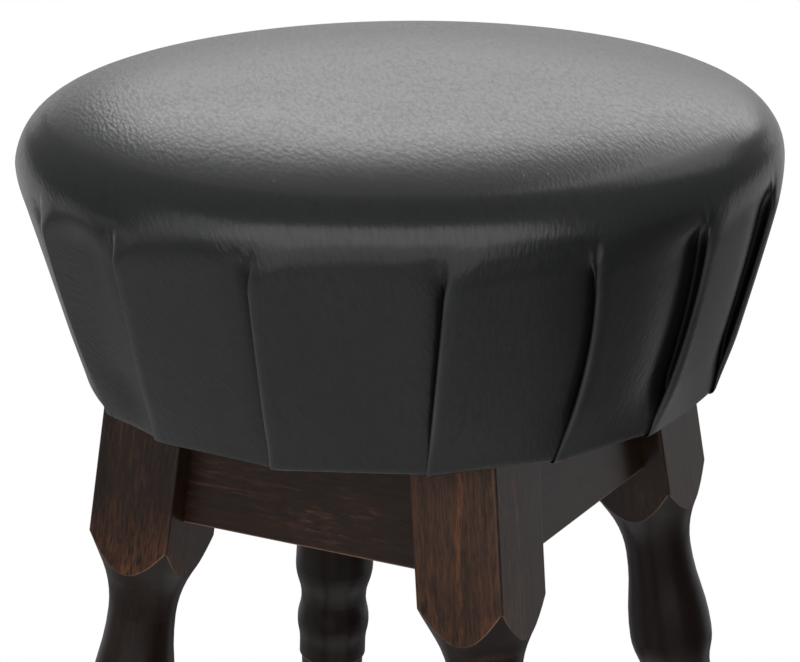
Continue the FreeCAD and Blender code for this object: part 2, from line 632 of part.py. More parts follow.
def make_corner_block(corner, seat_screw, block_screws):
    """A glue block across a corner, its ends flat against the leaning rails."""
    name = CORNERS[corner]
    body = doc.addObject("PartDesign::Body", f"block_blank_{name}")
    sketch = new_sketch(body, "plan")
    face, outer, inner = value(INNER_FACE), value(BLOCK_OUTER), value(BLOCK_INNER)
    outline = Outline(sketch, (inner - face, -face))
    front = outline.line(outer - face, -face)
    outline.line(face, face - outer)
    right = outline.line(face, face - inner)
    outline.close()
    relate(sketch, "Horizontal", front[0])
    relate(sketch, "Vertical", right[0])
    constrain(sketch, f"{BLOCK_INNER} - {INNER_FACE}", "DistanceX", front[0], START)
    constrain(sketch, f"{BLOCK_OUTER} - {INNER_FACE}", "DistanceX", front[0], END)
    constrain(sketch, f"-{INNER_FACE}", "DistanceY", front[0], START)
    constrain(sketch, INNER_FACE, "DistanceX", right[0], START)
    constrain(sketch, f"{INNER_FACE} - {BLOCK_OUTER}", "DistanceY", right[0], START)
    constrain(sketch, f"{INNER_FACE} - {BLOCK_INNER}", "DistanceY", right[0], END)
    pad = body.newObject("PartDesign::Pad", "block")
    pad.Profile = sketch
    pad.Reversed = True
    bind(pad, Length="Dims.block_height", TaperAngle="Dims.leg_splay")
    body.Placement = quarter(corner) * move(0, 0, value(UNDERSIDE))
    sinks = []
    for screw in block_screws:
        sink = doc.addObject("Part::Cylinder", f"{screw.Name}_sink")
        bind(sink, Radius="Dims.screw_head / 2", Height=BLOCK_DEPTH)
        sink.Placement = screw.Base.Placement * move(0, 0, -value(BLOCK_DEPTH))
        sinks.append(sink)
    block = doc.addObject("Part::Cut", f"corner_block_{name}")
    block.Base = body
    block.Tool = group(f"block_cuts_{name}", [seat_screw] + block_screws + sinks)
    return block


# Seat

def seat_points(inset):
    """Centres and joints of the seat's outline, drawn in by an inset, above the underside."""
    taper = math.radians(size("side_taper"))
    rim = FreeCAD.Vector(value(RIM_CENTRE), size("rim_height"), 0)
    rounding, hem = size("rim_rounding"), size("hem_rounding")
    depth = value(SEAT_DEPTH)
    chord = depth - rounding
    crown_level = (chord ** 2 - rim.x ** 2 - rim.y ** 2) / (2 * size("crown_rise"))
    crown = FreeCAD.Vector(0, crown_level, 0)
    outward = FreeCAD.Vector(math.cos(taper), -math.sin(taper), 0)
    hem_x = value(SIDE_FOOT) + hem * math.tan(taper) - hem / math.cos(taper)
    turn = FreeCAD.Vector(hem_x, hem, 0)
    return {
        "rim": rim,
        "crown": crown,
        "turn": turn,
        "top": FreeCAD.Vector(0, depth - inset, 0),
        "rim_start": crown + (rim - crown).normalize() * (depth - crown_level - inset),
        "rim_end": rim + outward * (rounding - inset),
        "side_end": turn + outward * (hem - inset),
        "hem_start": turn - FreeCAD.Vector(0, hem - inset, 0),
    }


def seat_outline(sketch, inset):
    """Crown, rim, tapered side and turned-under edge, drawn in by an inset, with the arcs."""
    spot = seat_points(value(inset))
    outline = Outline(sketch, (spot["top"].x, spot["top"].y))
    crown = outline.arc(spot["rim_start"].x, spot["rim_start"].y, (0, spot["crown"].y))
    rim = outline.arc(spot["rim_end"].x, spot["rim_end"].y, (spot["rim"].x, spot["rim"].y))
    side = outline.line(spot["side_end"].x, spot["side_end"].y, "Tangent")
    turn = outline.arc(spot["hem_start"].x, spot["hem_start"].y, (spot["turn"].x, spot["turn"].y))
    relate(sketch, "PointOnObject", crown[0], crown[1], V_AXIS)
    relate(sketch, "PointOnObject", crown[0], CENTRE, V_AXIS)
    constrain(sketch, f"{SEAT_DEPTH} - {inset}", "DistanceY", crown[0], crown[1])
    constrain(sketch, RIM_CENTRE, "DistanceX", rim[0], CENTRE)
    constrain(sketch, "Dims.rim_height", "DistanceY", rim[0], CENTRE)
    constrain(sketch, f"Dims.rim_rounding - {inset}", "Radius", rim[0])
    constrain(sketch, "-90 - Dims.side_taper", "Angle", side[0])
    constrain(sketch, f"Dims.hem_rounding - {inset}", "Radius", turn[0])
    return outline, crown, rim, turn


def make_cover_profile(body):
    """The cover in section: its outside, the hem and the inside one thickness in."""
    sketch = new_sketch(body, "profile", "XZ_Plane")
    outline, crown, rim, turn = seat_outline(sketch, "0")
    inner = seat_points(size("cover_thickness"))
    hem_end = value(f"{SIDE_FOOT} - Dims.hem_width")
    hem = outline.line(hem_end, 0, "Tangent")
    edge = outline.line(hem_end, size("cover_thickness"))
    back = outline.line(inner["hem_start"].x, inner["hem_start"].y)
    inner_turn = outline.arc(inner["side_end"].x, inner["side_end"].y, (inner["turn"].x, inner["turn"].y))
    outline.line(inner["rim_end"].x, inner["rim_end"].y, "Tangent")
    inner_rim = outline.arc(inner["rim_start"].x, inner["rim_start"].y, (inner["rim"].x, inner["rim"].y))
    inner_crown = outline.arc(0, inner["top"].y, (0, inner["crown"].y))
    outline.close()
    relate(sketch, "Horizontal", hem[0])
    relate(sketch, "PointOnObject", hem[0], END, H_AXIS)
    constrain(sketch, f"{SIDE_FOOT} - Dims.hem_width", "DistanceX", hem[0], END)
    relate(sketch, "Vertical", edge[0])
    relate(sketch, "Horizontal", back[0])
    relate(sketch, "Coincident", inner_turn[0], CENTRE, turn[0], CENTRE)
    constrain(sketch, "Dims.hem_rounding - Dims.cover_thickness", "Radius", inner_turn[0])
    relate(sketch, "Coincident", inner_rim[0], CENTRE, rim[0], CENTRE)
    constrain(sketch, "Dims.rim_rounding - Dims.cover_thickness", "Radius", inner_rim[0])
    relate(sketch, "Coincident", inner_crown[0], CENTRE, crown[0], CENTRE)
    relate(sketch, "PointOnObject", inner_crown[0], inner_crown[2], V_AXIS)
    return sketch


def pleat_section(body, name, level, lift):
    """A fold cut across: a sliver lying on the side, its fold edge along the sketch's X axis."""
    sketch = new_sketch(body, name, "XY_Plane", level)
    surface = f"({SIDE_FOOT} + {level} * tan(Dims.side_taper))"
    root = f"({surface} - Dims.pleat_root)"
    fold = f"({surface} + {lift})"
    lap = math.radians(value(PLEAT_LAP))
    crest = FreeCAD.Vector(value(fold), 0, 0)
    toe = FreeCAD.Vector(math.cos(lap), math.sin(lap), 0) * value(root)
    chord = toe - crest
    inward = UP.cross(chord).normalize()
    middle = (crest + toe) / 2 + inward * math.sqrt(crest.Length ** 2 - (chord.Length / 2) ** 2)
    outline = Outline(sketch, (value(root), 0))
    edge = outline.line(crest.x, crest.y)
    panel = outline.arc(toe.x, toe.y, (middle.x, middle.y), "Coincident")
    back = outline.arc(value(root), 0, (0, 0), "Coincident")
    relate(sketch, "Coincident", back[0], back[2], edge[0], START)
    relate(sketch, "PointOnObject", edge[0], START, H_AXIS)
    relate(sketch, "PointOnObject", edge[0], END, H_AXIS)
    relate(sketch, "Coincident", back[0], CENTRE, *ORIGIN)
    constrain(sketch, root, "DistanceX", edge[0], START)
    constrain(sketch, fold, "DistanceX", edge[0], END)
    constrain(sketch, PLEAT_LAP, "Angle", back[0])
    constrain(sketch, fold, "Radius", panel[0])
    return sketch


def make_cover():
    """The pleated cover: a turned shell with knife pleats that grow towards the bottom."""
    body = doc.addObject("PartDesign::Body", "seat_cover")
    profile = make_cover_profile(body)
    shell = body.newObject("PartDesign::Revolution", "shell")
    shell.Profile = profile
    shell.ReferenceAxis = (profile, ["V_Axis"])
    shell.Angle = 360
    doc.recompute()
    bottom = pleat_section(body, "fold_bottom", "Dims.hem_rounding", "Dims.pleat_lift")
    bend = pleat_section(body, "fold_bend", "Dims.pleat_bend", "Dims.pleat_bend_lift")
    top = pleat_section(body, "fold_top", "Dims.pleat_height", "-Dims.pleat_root / 2")
    doc.recompute()
    fold = body.newObject("PartDesign::AdditiveLoft", "fold")
    fold.Profile = bottom
    fold.Sections = [bend, top]
    fold.Ruled = True
    doc.recompute()
    folds = body.newObject("PartDesign::PolarPattern", "folds")
    folds.Originals = [fold]
    upright = next(item for item in body.Origin.OriginFeatures if item.Role == "Z_Axis")
    folds.Axis = (upright, [""])
    folds.Angle = 360
    bind(folds, Occurrences="Dims.pleat_count")
    body.Tip = folds
    body.Placement = move(0, 0, value(UNDERSIDE), UP, size("pleat_phase"))
    return body


def make_foam():
    """The foam that fills the cover, with a recess for the board."""
    body = doc.addObject("PartDesign::Body", "seat_foam")
    sketch = new_sketch(body, "profile", "XZ_Plane")
    outline, crown, _, _ = seat_outline(sketch, "Dims.cover_thickness")
    board, recess = value(BOARD_RADIUS), size("cover_thickness") + size("board_thickness")
    under = outline.line(board, size("cover_thickness"), "Tangent")
    wall = outline.line(board, recess)
    roof = outline.line(0, recess)
    outline.close()
    relate(sketch, "Horizontal", under[0])
    constrain(sketch, "Dims.cover_thickness", "DistanceY", under[0], END)
    constrain(sketch, BOARD_RADIUS, "DistanceX", under[0], END)
    relate(sketch, "Vertical", wall[0])
    constrain(sketch, "Dims.board_thickness", "DistanceY", wall[0], START, wall[0], END)
    relate(sketch, "Horizontal", roof[0])
    relate(sketch, "PointOnObject", roof[0], END, V_AXIS)
    fill = body.newObject("PartDesign::Revolution", "fill")
    fill.Profile = sketch
    fill.ReferenceAxis = (sketch, ["V_Axis"])
    fill.Angle = 360
    body.Placement = move(0, 0, value(UNDERSIDE))
    return body


def make_board(screws):
    """The plywood disc that the seat is built on, with the bites of the seat screws."""
    disc = doc.addObject("Part::Cylinder", "board_disc")
    bind(disc, Radius=BOARD_RADIUS, Height="Dims.board_thickness")
    disc.Placement = move(0, 0, value(f"{UNDERSIDE} + Dims.cover_thickness"))
    board = doc.addObject("Part::Cut", "seat_board")
    board.Base = disc
    board.Tool = group("board_cuts", screws)
    return board


# Assembly

doc = FreeCAD.newDocument("bar_stool")
dims = write_sheet(doc)
corners = range(len(CORNERS))
sides = range(len(SIDES))

level_slab = make_level_slab()
envelopes = [make_envelope(corner) for corner in corners]
glides = [make_glide(corner) for corner in corners]
seat_screws = [make_seat_screw(corner) for corner in corners]
block_screws = [make_block_screws(corner) for corner in corners]

sub_parts = [make_leg(corner, make_leg_blank(corner), glides[corner]) for corner in corners]
for side in sides:
    # A rail takes the second screw of the corner before it and the first of the corner after it
    rail_screws = [block_screws[(side + 3) % 4][1], block_screws[side][0]]
    sub_parts.append(make_rail(side, rail_screws))
    sub_parts.append(make_stretcher(side))
for corner in corners:
    sub_parts.append(make_corner_block(corner, seat_screws[corner], block_screws[corner]))

rail_dowels = [dowel for side in sides
               for dowel in dowel_set("rail_dowel", side, RAIL_DOWELS,
                                      "(Dims.dowel_diameter / 2)", "(Dims.dowel_length / 2)")]
stretcher_dowels = [dowel for side in sides
                    for dowel in dowel_set("stretcher_dowel", side, STRETCHER_DOWELS,
                                           "(Dims.dowel_diameter / 2)", "(Dims.dowel_length / 2)")]
sub_parts += [
    make_cover(),
    make_foam(),
    make_board(seat_screws),
    group("rail_dowels", rail_dowels),
    group("stretcher_dowels", stretcher_dowels),
    group("seat_screws", seat_screws),
    group("block_screws", [screw for pair in block_screws for screw in pair]),
    group("floor_glides", glides),
]
doc.recompute()

# Nothing is written unless every object is sound

faults = [item.Label for item in doc.Objects if {"Invalid", "Error"} & set(item.State)]
faults += [part.Label for part in sub_parts if part.Shape.isNull() or not part.Shape.isValid()]
if faults:
    raise RuntimeError("objects that failed: " + ", ".join(faults))

os.makedirs("parts", exist_ok=True)
for part in sub_parts:
    part.Shape.exportStep(f"parts/{part.Label}.step")
    print(f"{part.Label}: {len(part.Shape.Solids)} solids, {part.Shape.Volume / 1000:.1f} cm3")
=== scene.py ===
import math
import random
from collections import namedtuple

import bpy
import numpy as np
from mathutils import Matrix, Vector


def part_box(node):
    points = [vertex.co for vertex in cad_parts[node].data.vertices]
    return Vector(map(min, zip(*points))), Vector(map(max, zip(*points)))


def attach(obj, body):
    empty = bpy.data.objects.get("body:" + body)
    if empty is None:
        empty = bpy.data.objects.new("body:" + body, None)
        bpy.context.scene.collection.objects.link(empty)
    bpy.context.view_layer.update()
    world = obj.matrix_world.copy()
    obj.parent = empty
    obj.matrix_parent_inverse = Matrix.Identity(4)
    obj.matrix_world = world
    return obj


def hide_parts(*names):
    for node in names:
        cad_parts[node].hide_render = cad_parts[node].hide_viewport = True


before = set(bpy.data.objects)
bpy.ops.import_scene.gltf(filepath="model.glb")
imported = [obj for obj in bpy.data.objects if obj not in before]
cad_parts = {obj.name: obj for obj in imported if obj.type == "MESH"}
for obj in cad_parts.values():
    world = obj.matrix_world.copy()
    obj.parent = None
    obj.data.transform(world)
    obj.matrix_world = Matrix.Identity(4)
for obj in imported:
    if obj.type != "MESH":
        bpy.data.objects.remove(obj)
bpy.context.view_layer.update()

# The looks of a turned-leg bar stool: a pleated vinyl seat on dark stained legs.
# Metres, in the frame of the parts: +Z up, front towards -Y.

CORNERS = ["front_right", "rear_right", "rear_left", "front_left"]
SIDES = ["front", "right", "rear", "left"]
UP = Vector((0, 0, 1))

# View; the viewer's direction from the stool is in degrees round from +X
VIEWER_ANGLE = -60.8
CAMERA_PLACE = Vector((0.71819, -1.28477, 1.13735))
CAMERA_AIM = Vector((-0.001085, -0.000608, 0.638978))
CAMERA_ROLL = math.radians(-0.7315)
CAMERA_LENS = 145.82
CAMERA_SENSOR = 36

# Seat, in section
SEAT_LOW, SEAT_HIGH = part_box("seat_cover")
BOARD_LOW, BOARD_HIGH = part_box("seat_board")
SEAT_BASE = SEAT_LOW.z
SEAT_RADIUS = 0.180
RIM_HEIGHT = 0.107
RIM_ROUNDING = 0.025
CROWN_EDGE = math.radians(11)
SHOULDER_ROUNDING = 0.050
SIDE_TAPER = math.radians(15.2)
HEM_ROUNDING = 0.003
HEM_WIDTH = 0.026
VINYL = 0.0012
BOARD_RADIUS = BOARD_HIGH.x
FIT_GAP = 0.0001

# Pleats: a fold's directions at the top, the middle and the bottom of the side, in degrees round from the
# viewer, how proud it stands, how deep and how wide the cover sinks before it, and how deep a valley follows
Pleat = namedtuple("Pleat", "top middle bottom lift hollow width valley")
SEEN_PLEATS = [
    Pleat(-64.0, -66.5, -63.5, 0.0026, 0.0016, 0.014, 0.0034),
    Pleat(-44.5, -46.0, -47.5, 0.0026, 0.0028, 0.012, 0.0),
    Pleat(-21.5, -22.2, -22.8, 0.0028, 0.0046, 0.015, 0.0),
    Pleat(5.8, 4.8, 3.5, 0.0024, 0.0036, 0.015, 0.0),
    Pleat(27.2, 28.5, 25.5, 0.0024, 0.0032, 0.030, 0.0),
    Pleat(48.0, 49.2, 46.0, 0.0027, 0.0056, 0.042, 0.0),
    Pleat(69.5, 73.0, 71.0, 0.0028, 0.0050, 0.034, 0.0),
]
PLEAT_COUNT = 15
PLEAT_SEED = 15
PLEAT_WANDER = 1.5
UNSEEN_LIFT = (0.002, 0.0028)
UNSEEN_HOLLOW = (0.001, 0.004)
UNSEEN_WIDTH = (0.008, 0.028)

# Heights above the underside: where the folds begin and are full, where the hollows are full, where a fold
# has its top direction, and up to where everything eases towards the hem
PLEAT_START = 0.118
PLEAT_FULL = 0.090
HOLLOW_FULL = 0.096
FOLD_TOP = 0.1
HEM_FADE = 0.03

# How a fold is rolled, and how its panel lies
FOLD_ROLL = 0.0011
EDGE_REACH = 0.006
EDGE_SHARE = 0.45
CREASE_DEPTH = 0.004
TUCK_SHARE = 0.21
TUCK_LAYER = 0.0003
PANEL_FALL = 1.6
PANEL_FLATTEN = 0.0018
VALLEY_MIDDLE = 0.5
HEM_LIFT = 0.0008
HEM_EASE = 0.4

# Rows of the cover's mesh from the crown to the hem, and its columns from one fold to the next
CROWN_ROWS = 20
CROWN_CENTRE = 0.06
RIM_ROWS = 14
SHOULDER_ROWS = 7
SIDE_ROWS = 37
HEM_ROWS = 8
EDGE_COLUMNS = 6
PANEL_COLUMNS = 26
TUCK_COLUMNS = 4
UNDER_COLUMNS = 4
ROLL_COLUMNS = 6
COLUMN_CROWDING = 0.8
FOLD_SHARE = 0.2

# Staples that hold the cover to the board: the wire's section, and its girth along the crown
STAPLE_COUNT = 56
STAPLE_SEED = 4
STAPLE_LENGTH = 0.011
STAPLE_WIRE = 0.0012
STAPLE_SINK = 0.3
STAPLE_RING = 0.134
STAPLE_SCATTER = 0.0015
STAPLE_WANDER = 1.2
STAPLE_SKEW = 14
STAPLE_SECTION = [(-0.5, -0.5), (0.5, -0.5), (0.5, 0.0), (0.25, 0.45), (-0.25, 0.45), (-0.5, 0.0)]
STAPLE_GIRTHS = [(-0.5, 0.55), (-0.44, 1.0), (0.44, 1.0), (0.5, 0.55)]
LEG_SECTOR = 9

# Vinyl: waves per metre of its grain and the detail of its noises, how high the grain stands, its gloss and
# its colours, among them a painted highlight on the folds' crests and painted shade in the creases
GRAIN_DIRECTION = math.radians(-53)
PEBBLES = (165, 640, 1000)
PEBBLE_SOFTNESS = 0.35
PEBBLE_EDGES = (0.45, 0.9)
PEBBLE_BUMP = (0.47, 0.00015)
WARP_WAVES = 260.0
WARP_DETAIL = 2.0
WARP_REACH = 0.0015
FINE_NOISE = (2600.0, 3.0)
FINE_SHARE = 0.18
SLACK_NOISE = (9.0, 3.0)
SLACK_BUMP = (0.04, 0.006)
TONE_NOISE = (22.0, 5.0)
# Painted highlight on the folds' crests: how narrow it is, and the tones where it shows
CREST_HIGHLIGHT_POWER = 3.0
CREST_HIGHLIGHT_TONES = (0.25, 0.65)
# Painted shade in the creases: the wear values over which it comes
CREASE_SHADE_RANGE = (-0.25, -1)
VINYL_GLOSS = 0.19
TONE_GLOSS = 0.05
PEBBLE_GLOSS = 0.06
VINYL_IOR = 1.5
VINYL_SHINE = 0.53
GRAIN_DULLING = -0.04
GRAIN_RANGE = (0.35, 0.95)
# How much duller the gloss is under the painted crease shade
CREASE_SHADE_DULLING = -0.7
VINYL_DARK = (0.0120, 0.0127, 0.0125, 1)
VINYL_LIGHT = (0.0175, 0.0184, 0.0181, 1)
# The painted highlight's colour on the crests
VINYL_CREST_HIGHLIGHT = (0.060, 0.062, 0.061, 1)
# The painted shade's colour in the creases
VINYL_CREASE_SHADE = (0.004, 0.004, 0.004, 1)

# Legs: the reach of a leg's axis at the floor and at its top, half its foot, and the levels of its square
# parts: the middle of the lower one, how far it runs each way, and where the upper one ends
LEG_FOOT_REACH = 0.15019
LEG_TOP_REACH = 0.081
FOOT_HALF = 0.022
FOOTREST_LOW, FOOTREST_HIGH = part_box("stretcher_front")
FOOTREST = (FOOTREST_LOW.z + FOOTREST_HIGH.z) / 2
LOWER_SQUARE = 0.066
SQUARE_END = 0.535
SQUARE_FADE = 0.006

# Stained beech: noises of its figure, as waves per metre across and along the grain, detail, roughness and
# twist
WOOD_NOISES = {
    "bands": (80, 4, 5.0, 0.6, 0.3),
    "lines": (460, 12, 4.0, 0.65, 0.0),
    "pores": (1100, 60, 2.0, 0.6, 0.0),
    "flecks": (620, 95, 3.0, 0.7, 0.0),
    "dashes": (900, 130, 3.0, 0.7, 0.0),
    "veins": (170, 4, 3.0, 0.5, 0.5),
    "patches": (34, 16, 5.0, 0.65, 0.0),
}
WOOD_SHIFT = 3
FIGURE_SHARES = {"bands": 0.25, "lines": 0.35, "dashes": 0.4}
FIGURE_RANGE = (0.38, 0.64)
STAIN_DARK = (0.0078, 0.0038, 0.0028, 1)
STAIN_LIGHT = (0.031, 0.0126, 0.0060, 1)

# The lighter front face of one leg's square top, and the streak down it
LIGHTER_FACED_LEG = "front_right"
FRONT_LIGHTENING = 0.8
LIGHTER_FACES = (-0.5, -0.9)
LIGHTER_LEVELS = (SQUARE_END - 0.02, 0.60)
LIGHTER_FIGURE = (0.36, 0.66)
STREAK_NOISE = (26.0, 2.0)
STREAK_WANDER = 0.010
STREAK_ASIDE = 0.0015
STREAK_WIDTH = (0.0021, 0.0004)
STREAK_DASHES = (0.30, 0.62)
STAIN_LIGHTER_FRONT = (0.122, 0.055, 0.030, 1)
STAIN_STREAK = (0.200, 0.068, 0.023, 1)

# Worn flecks and pale veins
WORN_PATCHES = (0.46, 0.78)
WORN_FLECKS = (0.48, 0.70)
VEIN_RANGE = (0.66, 0.78)
VEIN_DASHES = (0.30, 0.70)
STAIN_WORN = (0.160, 0.060, 0.023, 1)

# Rubbed tips of the square tops, and the darker round parts: partly deeper stain, partly painted shade under
# the seat
TIP_WEAR = {"front_left": 1.0, "front_right": 0.5}
TIP_LEVELS = (0.580, SQUARE_END)
TIP_PATCHES = (0.36, 0.62)
TIP_DASHES = (0.40, 0.62)
ROUND_LEAN = (0.14, 0.24)
DEEP_AND_SHADE_SHARE = 0.93
DEEP_AND_SHADE_DULLING = -0.18
STAIN_TIP = (0.170, 0.055, 0.019, 1)
STAIN_DEEP_AND_SHADE = (0.0075, 0.0036, 0.0026, 1)

# Pores, worn edges and lacquer
PORE_RANGE = (0.56, 0.86)
PORE_DEPTH = -0.6
EDGE_EASE = 0.0012
EDGE_SAMPLES = 6
EDGE_TURN = (0.985, 0.82)
EDGE_NOISE = (70.0, 4.0)
EDGE_PATCHES = (0.22, 0.46)
JOINT_ENDS = (0.16, 0.05)
WOOD_BUMP = (0.18, 0.0003)
WOOD_GLOSS = 0.26
PATCH_GLOSS = 0.14
WOOD_SHINE = 0.5
LACQUER_IOR = 1.43
STAIN_PORE = (0.006, 0.0036, 0.0028, 1)
STAIN_EDGE = (0.52, 0.30, 0.18, 1)

# Bare wood: noises as above, and colours
RAW_BANDS = (120, 6, 5.0, 0.6, 0.0)
RAW_FLECKS = (1500, 160, 2.0, 0.55, 0.0)
RAW_BAND_RANGE = (0.3, 0.7)
RAW_FLECK_RANGE = (0.6, 0.75)
RAW_SHIFT = (1, 0.3, 0.7)
RAW_BUMP = (0.3, 0.0004)
RAW_GLOSS = 0.55
RAW_BAND_GLOSS = 0.15
BEECH_LIGHT = (0.52, 0.34, 0.19, 1)
BEECH_DARK = (0.40, 0.24, 0.12, 1)
PLYWOOD_LIGHT = (0.50, 0.36, 0.21, 1)
PLYWOOD_DARK = (0.36, 0.23, 0.12, 1)

# Seeds that keep each piece of wood different
LEG_SEED = 0
RAIL_SEED = 10
STRETCHER_SEED = 14
BLOCK_SEED = 20
BOARD_SEED = 31
DOWEL_SEED = 37

# Zinc plating and moulded plastic
ZINC_NOISE = (420.0, 5.0)
ZINC_GLOSS = 0.25
SPOT_GLOSS = 0.25
ZINC_BUMP = (0.1, 0.0002)
ZINC_DARK = (0.42, 0.41, 0.38, 1)
ZINC_LIGHT = (0.62, 0.60, 0.55, 1)
SCUFF_WAVES = (300, 900, 300)
SCUFF_NOISE = (1.0, 5.0, 0.7)
SCUFF_RANGE = (0.55, 0.8)
SCUFF_GLOSS = 0.3
SCUFF_BUMP = (0.2, 0.0002)
PLASTIC_GLOSS = 0.35
PLASTIC_BLACK = (0.018, 0.018, 0.019, 1)
PLASTIC_SCUFFED = (0.09, 0.088, 0.085, 1)

# Floor: its size, where it fades out, and two discs that glow in reflections only, each with its outer and
# inner reach and its strength
FLOOR_RADIUS = 3.0
FLOOR_CORNERS = 96
FLOOR_MIDDLE = (-0.22, -0.42, 0)
FLOOR_PLAIN = 0.75
FLOOR_END = 1.28
FLOOR_NOISE = (40.0, 4.0)
FLOOR_DARK = (0.62, 0.62, 0.62, 1)
FLOOR_LIGHT = (0.68, 0.68, 0.68, 1)
UNDER_PLACE = (0, 0, 0)
UNDER_GLOW = (0.48, 0.26, 0.46)
FAR_PLACE = (0.49, 0.84, 0)
FAR_GLOW = (0.30, 0.12, 0.30)

# Room round the stool: the air from the horizon up, and patches below the horizon, each with its side, how
# far round it reaches, the heights over which it comes and goes, and its colour
WHITE = (1, 1, 1, 1)
HORIZON = (0.04, -0.04)
AIR_HEIGHTS = (0.1, 0.8)
AIR_LOW = (0.16, 0.162, 0.165, 1)
AIR_HIGH = (0.30, 0.302, 0.305, 1)
GROUND = (0.18, 0.18, 0.18, 1)
Patch = namedtuple("Patch", "side reach heights colour")
GROUND_PATCHES = [
    Patch((0.8, -0.6, 0), (0.0, 0.5), [], (0.08, 0.08, 0.08, 1)),
    Patch((-0.78, -0.62, 0), (0.93, 0.98), [(-0.5, -0.3)], (0.62, 0.62, 0.62, 1)),
    Patch((0.259, -0.966, 0), (0.3, 0.6), [(-0.66, -0.5), (-0.34, -0.46)], (0.38, 0.38, 0.38, 1)),
    Patch((-0.488, 0.873, 0), (0.2, 0.42), [(-0.40, -0.30)], (0.56, 0.56, 0.57, 1)),
]

# Studio lights, as seen from the seat: direction round from the viewer, lowest and highest elevation and
# spread, in degrees, then brightness
LIGHT_DISTANCE = 2.8
Softbox = namedtuple("Softbox", "name direction low high spread glow")
SOFTBOXES = [
    Softbox("back_low", 174, 0, 9, 66, 0.53),
    Softbox("back", 174, 9, 14.5, 52, 0.61),
    Softbox("back_high", 170, 14.5, 22.3, 43, 2.3),
    Softbox("back_right", 146, 27, 52, 44, 0.65),
    Softbox("front", -4, 16, 54, 100, 1.5),
    Softbox("front_low", -8, -19, 16, 84, 0.75),
    Softbox("front_left", -64, 0, 40, 26, 0.75),
]


def smooth(low, high, x):
    """A soft step from 0 at low to 1 at high; high may be the smaller."""
    t = np.clip((np.asarray(x, float) - low) / (high - low), 0, 1)
    return t * t * (3 - 2 * t)


def make_object(name, vertices, faces):
    """A smooth mesh object in the scene, riding on the stool."""
    mesh = bpy.data.meshes.new(name)
    mesh.from_pydata([tuple(v) for v in vertices], [], faces)
    mesh.shade_smooth()
    mesh.update()
    thing = bpy.data.objects.new(name, mesh)
    bpy.context.scene.collection.objects.link(thing)
    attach(thing, "root")
    return thing


# Seat cover

Row = namedtuple("Row", "radius level out up folded hem")


def cover_profile():
    """The seat in section, as rows from the crown over the rim and down the side to the hem's inner edge.

    A row has its radius and level, the shares in which it faces out and up, how far it is folded, and how far
    it has turned round the hem.
    """
    base, top = SEAT_BASE, SEAT_HIGH.z
    rim_radius, rim_level = SEAT_RADIUS - RIM_ROUNDING, base + RIM_HEIGHT
    rim_end = math.pi / 2 + SIDE_TAPER
    crown_end = rim_radius + RIM_ROUNDING * math.sin(CROWN_EDGE)
    crown_drop = top - rim_level - RIM_ROUNDING * math.cos(CROWN_EDGE)
    crown_power = math.tan(CROWN_EDGE) * crown_end / crown_drop
    rows = []

    def add(radius, level, way, hem=0.0):
        folded = float(smooth(PLEAT_START, PLEAT_FULL, level - base))
        rows.append(Row(radius, level, math.sin(way), math.cos(way), folded, hem))

    for share in np.linspace(CROWN_CENTRE, 1, CROWN_ROWS):
        slope = math.tan(CROWN_EDGE) * share ** (crown_power - 1)
        add(crown_end * share, top - crown_drop * share ** crown_power, math.atan(slope))
    for way in np.linspace(CROWN_EDGE, math.pi / 2, RIM_ROWS)[1:]:
        add(rim_radius + RIM_ROUNDING * math.sin(way), rim_level + RIM_ROUNDING * math.cos(way), way)
    for way in np.linspace(math.pi / 2, rim_end, SHOULDER_ROWS)[1:]:
        inward = SHOULDER_ROUNDING * (1 - math.sin(way))
        add(SEAT_RADIUS - inward, rim_level + SHOULDER_ROUNDING * math.cos(way), way)
    start_radius, start_level = rows[-1][:2]
    hem_level = base + HEM_ROUNDING
    end_level = hem_level - HEM_ROUNDING * math.sin(SIDE_TAPER)
    rim_foot = rim_level - RIM_ROUNDING * math.sin(SIDE_TAPER)
    rim_reach = rim_radius + RIM_ROUNDING * math.cos(SIDE_TAPER)
    end_radius = rim_reach - (rim_foot - end_level) * math.tan(SIDE_TAPER)
    for share in np.linspace(0, 1, SIDE_ROWS)[1:]:
        level = start_level + (end_level - start_level) * share
        add(start_radius + (end_radius - start_radius) * share, level, rim_end)
    hem_radius = end_radius - HEM_ROUNDING * math.cos(SIDE_TAPER)
    for way in np.linspace(rim_end, math.pi, HEM_ROWS)[1:]:
        hem = float(smooth(rim_end, math.pi, way))
        add(hem_radius + HEM_ROUNDING * math.sin(way), hem_level + HEM_ROUNDING * math.cos(way), way, hem)
    inner_radius = end_radius - HEM_WIDTH
    for share in np.linspace(0, 1, HEM_ROWS)[1:]:
        add(hem_radius + (inner_radius - hem_radius) * share, base, math.pi, 1.0)
    return rows


def turned_pleat(pleat):
    """A pleat whose directions are in radians round from +X."""
    directions = [math.radians(VIEWER_ANGLE + angle) for angle in (pleat.top, pleat.middle, pleat.bottom)]
    return Pleat(*directions, pleat.lift, pleat.hollow, pleat.width, pleat.valley)


def all_pleats():
    """The pleats round the whole seat, turned to the viewer: those seen, then the rest with some wander."""
    dice = random.Random(PLEAT_SEED)

    def wander():
        return dice.uniform(-PLEAT_WANDER, PLEAT_WANDER)

    pleats = list(SEEN_PLEATS)
    first, last = pleats[0].middle, pleats[-1].middle
    unseen = PLEAT_COUNT - len(pleats)
    for place in range(1, unseen + 1):
        share = place / (unseen + 1)
        middle = last + (first + 360 - last) * share + wander()
        top = middle + wander()
        bottom = middle + wander()
        shape = [dice.uniform(*limits) for limits in (UNSEEN_LIFT, UNSEEN_HOLLOW, UNSEEN_WIDTH)]
        pleats.append(Pleat(top, middle, bottom, *shape, 0.0))
    return [turned_pleat(pleat) for pleat in pleats]


def fold_angle(pleat, height):
    """A fold's direction at a height above the underside, on a curve through its three directions."""
    t = min(max(height / FOLD_TOP, 0), 1)
    return pleat.bottom * (1 - t) * (1 - 2 * t) + pleat.middle * 4 * t * (1 - t) + pleat.top * t * (2 * t - 1)


